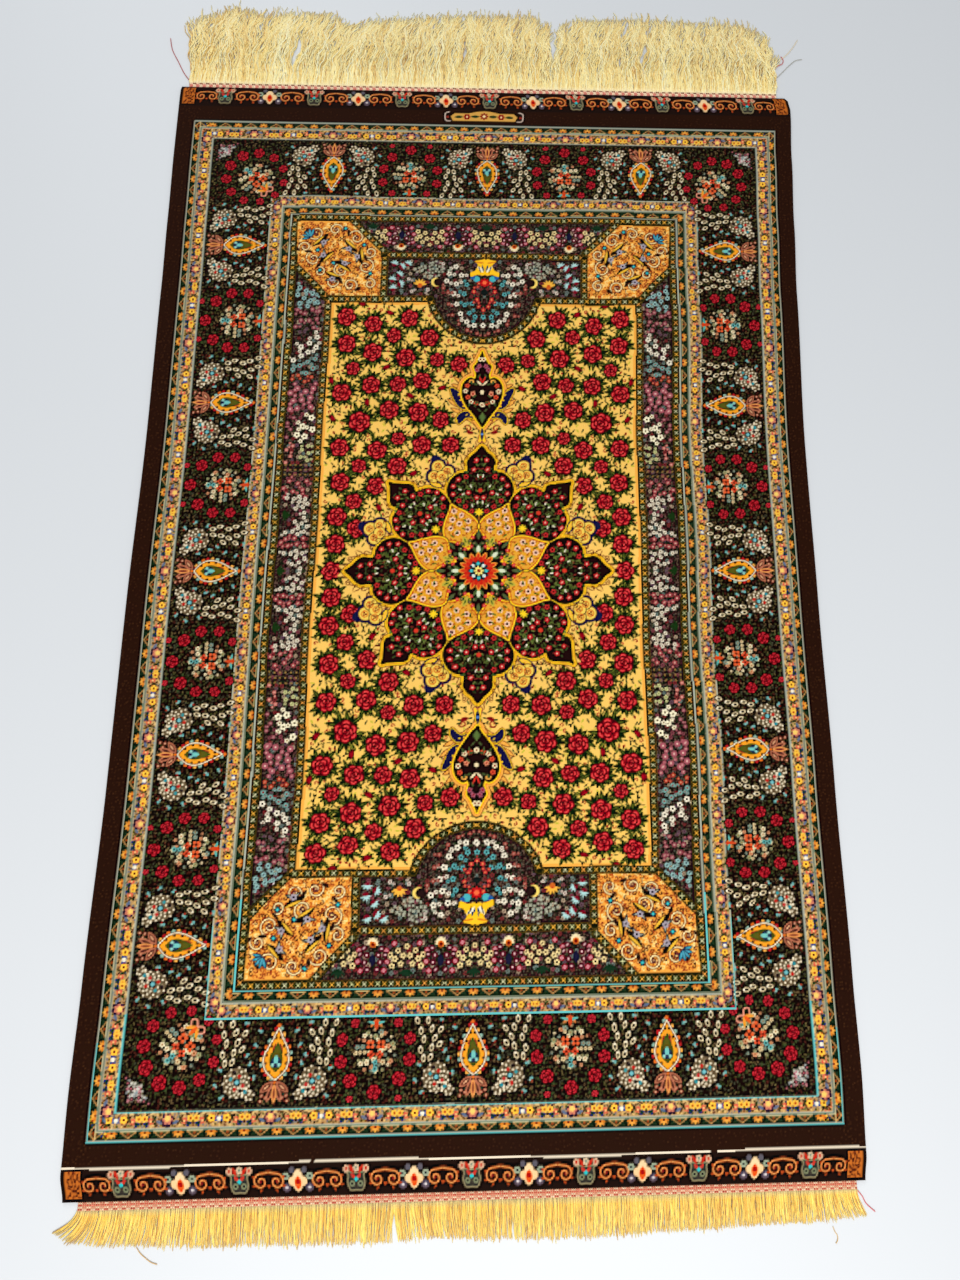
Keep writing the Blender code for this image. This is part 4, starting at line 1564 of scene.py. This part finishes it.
# Across the near end, and for a short stretch up both sides, these guard lines are turquoise: half
# sizes and half a width. A thin cream line, broken in a few places, runs along the near panel.
NEAR_TURQUOISE = (
    (INNER_OUTER_LINE, 0.9), (INNER_FIRST_LINE, 0.8), (OUTER_FIRST_LINE, 0.7), (PLAIN_LINE, 0.7),
)
NEAR_STRETCH = 90.0
TURQUOISE_LINE = (96, 186, 184)
CREAM_LINE = (232, 216, 190)
quarter_knots = knots_of(chart)
cartouche_knots = knots_of(cartouche)

# How far the middle of the design lies nearer than the cloth's, over which half length, and how far
# hand-tied rows wander
NEARER = 10.0
NEARER_REACH = 360.0
WANDER = 0.9


def knot_colours(place):
    """The colours of the whole rug at places in millimetres.

    The four quarters mirror each other, as nearly as hand-tied ones do, and the middle of the
    design lies a little nearer than the middle of the cloth. Only the vases stand the same way up at
    both ends.
    """
    u, v = place.T
    v = v + NEARER * np.clip(1.0 - (v / NEARER_REACH) ** 4, 0.0, None)
    inside = np.clip((330.0 - abs(u)) / 60.0, 0.0, 1.0) * np.clip((600.0 - abs(v)) / 60.0, 0.0, 1.0)
    du = WANDER * np.sin(v / 41.0 + 0.6) * np.sin(u / 67.0 + 1.1) * inside
    dv = WANDER * np.sin(u / 53.0 + 2.0) * np.sin(v / 71.0 + 0.4) * inside
    rows = abs(v + dv)
    rows = np.where((v < -PANEL_FOOT) & (v > -END), 2.0 * PANEL_MIDDLE_ROW - rows, rows)
    rows = np.clip(rows.astype(int), 0, quarter_knots.shape[0] - 1)
    columns = np.clip(abs(u + du).astype(int), 0, quarter_knots.shape[1] - 1)
    colours = quarter_knots[rows, columns]
    for (half_u, half_v), width in NEAR_TURQUOISE:
        there = (abs(v + half_v) < width) & (abs(u) < half_u + width)
        there |= (abs(abs(u) - half_u) < 0.8 * width) & (v > -half_v) & (v < NEAR_STRETCH - half_v)
        colours[there] = np.array(TURQUOISE_LINE) / 255.0
    there = abs(v + PANEL_FOOT - 1.0 + 0.7 * np.sin(u / 70.0)) < 0.95
    there &= np.sin(u / 31.0) + np.sin(u / 9.0) < 1.93
    colours[there] = np.array(CREAM_LINE) / 255.0
    rows = np.floor(v - CARTOUCHE_LOW[1]).astype(int)
    columns = np.floor(u - CARTOUCHE_LOW[0]).astype(int)
    there = (rows >= 0) & (rows < cartouche_knots.shape[0])
    there &= (columns >= 0) & (columns < cartouche_knots.shape[1])
    colours[there] = cartouche_knots[rows[there], columns[there]]
    return colours


BARE_WARPS = (206, 150, 116)


def dye(sheet, unfold):
    """Colours every corner of a sheet's faces, and unfolds the sheet flat where it may be.

    The one wide face is the foundation's top, where only bare warps show under the strips.
    """
    mesh = sheet.piece.data
    corners = np.empty(len(mesh.loops), np.int32)
    mesh.loops.foreach_get("vertex_index", corners)
    sides = np.empty(len(mesh.polygons), np.int32)
    mesh.polygons.foreach_get("loop_total", sides)
    face = np.repeat(np.arange(len(sides)), sides)
    place = sheet.work[corners]
    centre = np.stack([np.bincount(face, way) / sides for way in place.T], axis=1)
    colours = np.ones((len(corners), 4), np.float32)
    colours[:, :3] = knot_colours(0.5 * (place + centre[face]))
    colours[np.repeat(sides > 4, sides), :3] = np.array(BARE_WARPS) / 255.0
    knots = mesh.color_attributes.new(name="knots", type="BYTE_COLOR", domain="CORNER")
    knots.data.foreach_set("color_srgb", colours.ravel())
    if unfold:
        low, high = place.min(axis=0), place.max(axis=0)
        spread = 0.005 + 0.99 * (place - low) / max(high - low)
        mesh.uv_layers.new(name="OFBake").data.foreach_set("uv", spread.astype(np.float32).ravel())


for sheet in pile:
    dye(sheet, True)
dye(back, False)

# The strips: rows of silk wefts packed over the bare warps. The near one has checks of cream and
# pink by turns with red rows. The far one has two slanted pink and cream rows, and one of cream and
# brown. Each stitch is a short fat thread.


def spin(name, paths, radii, colours, sides):
    """Threads as one joined mesh. Paths are threads by rings by 3, in metres."""
    count, rings = radii.shape
    ahead = np.gradient(paths, axis=1)
    ahead /= np.linalg.norm(ahead, axis=2, keepdims=True)
    aside = np.cross(ahead, (0.0, 0.0, 1.0))
    aside /= np.linalg.norm(aside, axis=2, keepdims=True)
    upward = np.cross(aside, ahead)
    angle = 0.5 * math.pi + np.arange(sides) * math.tau / sides
    way = np.cos(angle)[:, None] * aside[:, :, None] + np.sin(angle)[:, None] * upward[:, :, None]
    points = paths[:, :, None] + radii[:, :, None, None] * way
    corner = np.arange(count * rings * sides).reshape(count, rings, sides)
    after = np.roll(corner, -1, axis=2)
    walls = [corner[:, :-1], corner[:, 1:], after[:, 1:], after[:, :-1]]
    faces = np.stack(walls, axis=-1).reshape(-1, 4).tolist()
    faces += corner[:, 0].tolist() + corner[:, -1, ::-1].tolist()
    mesh = bpy.data.meshes.new(name)
    mesh.from_pydata(points.reshape(-1, 3).tolist(), [], faces)
    shades = np.ones((count, rings, sides, 4), np.float32)
    shades[..., :3] = np.clip(colours / 255.0, 0.0, 1.0)[:, :, None]
    knots = mesh.color_attributes.new(name="knots", type="BYTE_COLOR", domain="POINT")
    knots.data.foreach_set("color_srgb", shades.ravel())
    piece = bpy.data.objects.new(name, mesh)
    bpy.context.scene.collection.objects.link(piece)
    bpy.ops.object.select_all(action="DESELECT")
    bpy.context.view_layer.objects.active = piece
    piece.select_set(True)
    bpy.ops.object.shade_smooth()
    return piece


def thread_finish(name, sheen, roughness):
    """Silk thread: each thread's own colour, with fine lengthwise unevenness."""
    finish = Finish(name, {
        "Specular IOR Level": 0.4,
        "Sheen Weight": sheen,
        "Sheen Roughness": 0.4,
        "Sheen Tint": (1.0, 0.96, 0.86, 1.0),
    })
    knots = finish.node("ShaderNodeAttribute", {"attribute_name": "knots"}, {}, "Color")
    grain = finish.noise(700.0, 2.0)
    finish.feed(finish.shader, {
        "Base Color": finish.tint(knots, 0.84 + 0.32 * grain),
        "Roughness": roughness + 0.2 * grain,
    })
    return finish.material


STITCH_SWELL = (0.45, 1.0, 1.0, 0.45)
STITCH_PITCH = 2.1
STITCH_RADIUS = 0.00048 * STITCH_PITCH
STITCH_SINK = 0.00015
STRIP_START = END + 0.1
strip_weave = thread_finish("flat_weave", 0.2, 0.5)


def weave_strip(name, ends, side, rows):
    """A strip of stitches in rows. Each row: inset from the pile, depth, slant, two colours."""
    paths, radii, colours = [], [], []
    for inset, depth, slant, first, second in rows:
        count = round((ends[1] - ends[0]) / STITCH_PITCH)
        middle = ends[0] + (np.arange(count) + 0.5) * (ends[1] - ends[0]) / count
        middle = middle + draw.uniform(-0.25, 0.25, count)
        share = np.linspace(-0.5, 0.5, len(STITCH_SWELL))
        u = middle[:, None] + slant * share
        v = np.broadcast_to(side * (STRIP_START + inset + depth * (0.5 + 0.86 * share)), u.shape)
        x, y = on_floor(u / 1000.0, v / 1000.0)
        z = np.full(x.shape, STRIP_TOP - STITCH_SINK)
        paths.append(np.stack([x, y, z], axis=2))
        swell = draw.uniform(0.9, 1.08, (count, 1)) * np.array(STITCH_SWELL)
        radii.append(STITCH_RADIUS * swell)
        odd = (np.arange(count) // 2 % 2 == 1)[:, None]
        colour = np.where(odd, np.array(second), np.array(first)) + draw.normal(0.0, 9.0, (count, 1))
        colours.append(np.repeat(colour[:, None], len(STITCH_SWELL), axis=1))
    piece = spin(name, *(np.concatenate(part) for part in (paths, radii, colours)), 4)
    piece.data.materials.append(strip_weave)
    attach(piece, "root")
    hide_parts("knotted_cloth")


weave_strip("strip_near", NEAR_STRIP, -1.0, (
    (0.0, 1.9, 0.0, (236, 208, 176), (206, 116, 92)),
    (1.9, 1.8, 0.0, (204, 60, 46), (216, 96, 74)),
    (3.7, 1.9, 0.0, (240, 214, 178), (222, 150, 120)),
    (5.6, 2.0, 0.0, (186, 56, 44), (236, 206, 172)),
))
weave_strip("strip_far", FAR_STRIP, 1.0, (
    (0.0, 2.6, 2.6, (214, 120, 108), (240, 214, 178)),
    (2.6, 2.6, -2.6, (222, 134, 118), (246, 222, 190)),
    (5.2, 2.4, 0.6, (240, 220, 186), (120, 84, 66)),
))

# The far fringe: the warps run on beyond the strip as a long mat of wavy golden threads, which lean
# to the right in loose locks.

# Where the threads end, in metres: across, reach beyond the strip, drift to the right
FAR_CUTS = (
    (-0.386, 0.100, -0.010), (-0.372, 0.113, -0.006), (-0.345, 0.127, 0.006),
    (-0.300, 0.117, 0.014), (-0.228, 0.120, 0.018), (-0.205, 0.098, 0.016),
    (-0.160, 0.108, 0.020), (-0.088, 0.117, 0.018), (0.040, 0.124, 0.014),
    (0.068, 0.113, 0.012), (0.082, 0.092, 0.006), (0.098, 0.116, 0.010),
    (0.173, 0.119, 0.012), (0.320, 0.116, 0.008), (0.350, 0.112, 0.002),
    (0.370, 0.098, 0.002), (0.384, 0.060, 0.007),
)

# Where the mat parts: across, from and to which share of its length, and how wide. Both sizes are
# in metres.
FAR_SPLITS = (
    (-0.306, 0.45, 1.30, 0.006), (-0.256, 0.22, 0.85, 0.008), (-0.168, 0.35, 0.75, 0.007),
    (-0.036, 0.30, 0.90, 0.008), (0.083, 0.35, 1.60, 0.012), (0.182, 0.40, 0.90, 0.006),
    (0.205, 0.30, 0.80, 0.007),
)
silk_warp = thread_finish("silk_warp", 0.35, 0.34)

# How the threads gather in locks across the rug: size, waves for each metre, start
LOCKS = ((1.0, 173.0, 1.3), (0.7, 397.0, 0.0), (0.2, 911.0, 0.0))
SPLIT_REACH = 0.022
# The cream of the loops at the threads' roots, also laid over the tips as painted light
ROOT_LOOP_AND_TIP_LIGHT = (252, 240, 200)


def fringe(name, node, side, ends, cuts, splits, count, rings, thread, depth, wave, colours):
    """Threads side by side along one end, in a few layers on the floor.

    thread is a thread's radius, depth how high the layers rise, and wave how far a thread wanders.
    """
    root = np.linspace(ends[0], ends[1], count) / 1000.0 + draw.uniform(-0.0004, 0.0004, count)
    reach, drift = read_smoothly(cuts, root)
    reach = reach * (draw.uniform(0.88, 1.0, count) + 0.08 * (draw.random(count) < 0.08))
    share = np.linspace(0.0, 1.0, rings)
    root, reach, drift = root[:, None], reach[:, None], drift[:, None]
    lock = sum(size * np.sin(root * rate + start) for size, rate, start in LOCKS)
    phase = lock * 1.4 + draw.normal(0.0, 0.35, (count, 1))
    stray = draw.normal(0.0, 1.0, (count, 1))
    across = root + drift * share**2 + wave * 0.55 * lock * share
    swing = share**0.6 * (1.0 - 0.3 * share) * np.sin(phase + reach * 130.0 * share)
    crimp = 0.45 * share**0.5 * np.sin(3.1 * stray + reach * 330.0 * share)
    across = across + wave * (swing + crimp + 0.7 * stray * share**2.0)
    for place, start, end, width in splits:
        past = np.clip((share - start) / (end - start), 0.0, 1.0)
        away = root - place
        parting = 0.5 * width * np.sin(math.pi * past) * np.exp(-abs(away) / SPLIT_REACH)
        across = across + np.sign(away) * parting
    along = side * (HALF_LENGTH + 0.001 * STRIP_DEPTH - 0.0006 + reach * share)
    x, y = on_floor(across, along)
    layer = draw.uniform(0.0, 1.0, (count, 1))
    arch = np.sin(math.pi * np.clip(share * 0.9 + 0.1, 0.0, 1.0)) ** 0.5
    height = thread + depth * (0.25 + 0.75 * layer) * arch
    height = height * (0.8 + 0.2 * np.sin(9.0 * share + 5.0 * layer))
    height = np.maximum(height, thread * 0.9)
    radii = thread * draw.uniform(0.85, 1.15, (count, 1)) * (1.0 - 0.35 * share**3)
    pale, mid, deep = (np.array(colour) for colour in colours)
    # Each thread's tone differs at random, and threads that lie higher in the mat are painted paler:
    # painted light on the top layers.
    tone = np.clip(draw.normal(0.5, 0.33, (count, 1, 1)) + 0.25 * (layer[..., None] - 0.5), 0.0, 1.0)
    shade = np.where(tone > 0.5, mid + (pale - mid) * (2.0 * tone - 1.0), deep + (mid - deep) * 2.0 * tone)
    # Near the root: the cream loops' own colour. Towards the tips: painted light, making up for the shade
    # between the threads.
    root_loops_and_tip_light = 0.7 * np.clip(1.0 - share / 0.06, 0.0, 1.0) + 0.22 * share**2
    shade = shade + (np.array(ROOT_LOOP_AND_TIP_LIGHT) - shade) * root_loops_and_tip_light[None, :, None]
    piece = spin(name, np.stack([x, y, height], axis=2), radii, shade, 3)
    piece.data.materials.append(silk_warp)
    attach(piece, "root")
    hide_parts(node)
    return piece


far_fringe = fringe(
    "far_fringe", "fringe_far", 1.0, FAR_STRIP, FAR_CUTS, FAR_SPLITS,
    count=1420, rings=21, thread=0.00086, depth=0.0010, wave=0.0030,
    colours=((255, 244, 186), (254, 228, 140), (220, 172, 84)),
)

# Over it lie looser locks that sweep further to the right, in metres: across, reach, drift
FAR_LOCKS = (
    (-0.386, 0.108, 0.004), (-0.360, 0.122, 0.026), (-0.330, 0.116, -0.012), (-0.300, 0.112, 0.018),
    (-0.262, 0.122, 0.012), (-0.220, 0.112, 0.016), (-0.198, 0.100, 0.034), (-0.160, 0.112, 0.006),
    (-0.100, 0.120, 0.014), (-0.044, 0.120, 0.016), (-0.030, 0.122, 0.002), (0.060, 0.114, 0.012),
    (0.078, 0.096, 0.002), (0.100, 0.118, 0.012), (0.180, 0.120, 0.014), (0.260, 0.118, 0.010),
    (0.330, 0.114, 0.008), (0.366, 0.100, 0.004), (0.384, 0.064, 0.006),
)
far_locks = fringe(
    "far_locks", "fringe_far", 1.0, FAR_STRIP, FAR_LOCKS, FAR_SPLITS,
    count=980, rings=19, thread=0.00080, depth=0.0030, wave=0.0044,
    colours=((255, 250, 208), (255, 238, 166), (238, 200, 108)),
)

# The near fringe: the same golden silk warps, left loose beyond the near strip, combed straight and
# cut short. In metres: across, reach beyond the strip, drift to the right.
NEAR_CUTS = (
    (-0.380, 0.020, -0.022), (-0.372, 0.028, -0.016), (-0.355, 0.032, -0.006),
    (-0.256, 0.036, 0.001), (-0.080, 0.037, 0.001), (-0.052, 0.034, 0.004),
    (0.100, 0.038, 0.000), (0.207, 0.034, 0.000), (0.330, 0.030, 0.001),
    (0.386, 0.026, 0.008),
)
NEAR_SPLITS = ((-0.076, 0.30, 1.50, 0.006), (0.040, 0.40, 1.50, 0.002))
near_fringe = fringe(
    "near_fringe", "fringe_near", -1.0, NEAR_STRIP, NEAR_CUTS, NEAR_SPLITS,
    count=1650, rings=6, thread=0.00060, depth=0.0009, wave=0.0008,
    colours=((252, 228, 112), (246, 204, 74), (206, 144, 40)),
)

# Loose threads: single silk ends that have frayed off the edge and lie outside the corners. Each:
# name, colour, thickness in millimetres, and the places that it passes.
THREADS = (
    ("far_left", (176, 50, 52), 1.0, ((-386, 655), (-395, 668), (-404, 686), (-413, 704), (-417, 722))),
    ("far_right", (236, 214, 170), 0.8, ((383, 700), (393, 708), (404, 718), (413, 730), (420, 742))),
    ("far_right_low", (150, 146, 130), 0.7, ((388, 680), (397, 690), (406, 700), (415, 708), (424, 710))),
    ("far_corner", (196, 46, 52), 0.9, ((385, 694), (391, 699), (396, 702), (398, 708), (395, 714))),
    ("near_right", (214, 40, 54), 0.8, ((386, -653), (391, -659), (394, -665), (398, -669), (403, -673))),
    (
        "near_right_low", (220, 176, 96), 0.7,
        ((359, -685), (361, -690), (363, -693), (363, -697), (361, -700)),
    ),
    (
        "near_left", (216, 170, 90), 0.7,
        ((-321, -685), (-317, -690), (-312, -694), (-306, -698), (-300, -700)),
    ),
)
for name, colour, width, points in THREADS:
    path = np.array(smooth([complex(*point) for point in points], steps=4))
    x, y = on_floor(path.real / 1000.0, path.imag / 1000.0)
    z = np.full(len(path), 0.0005 * width)
    radii = np.full((1, len(path)), 0.0005 * width)
    shade = np.tile(np.array(colour, float), (1, len(path), 1))
    piece = spin("thread_" + name, np.stack([x, y, z], axis=1)[None], radii, shade, 5)
    piece.data.materials.append(silk_warp)
    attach(piece, "root")
    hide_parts("fringe_near" if name.startswith("near") else "fringe_far")
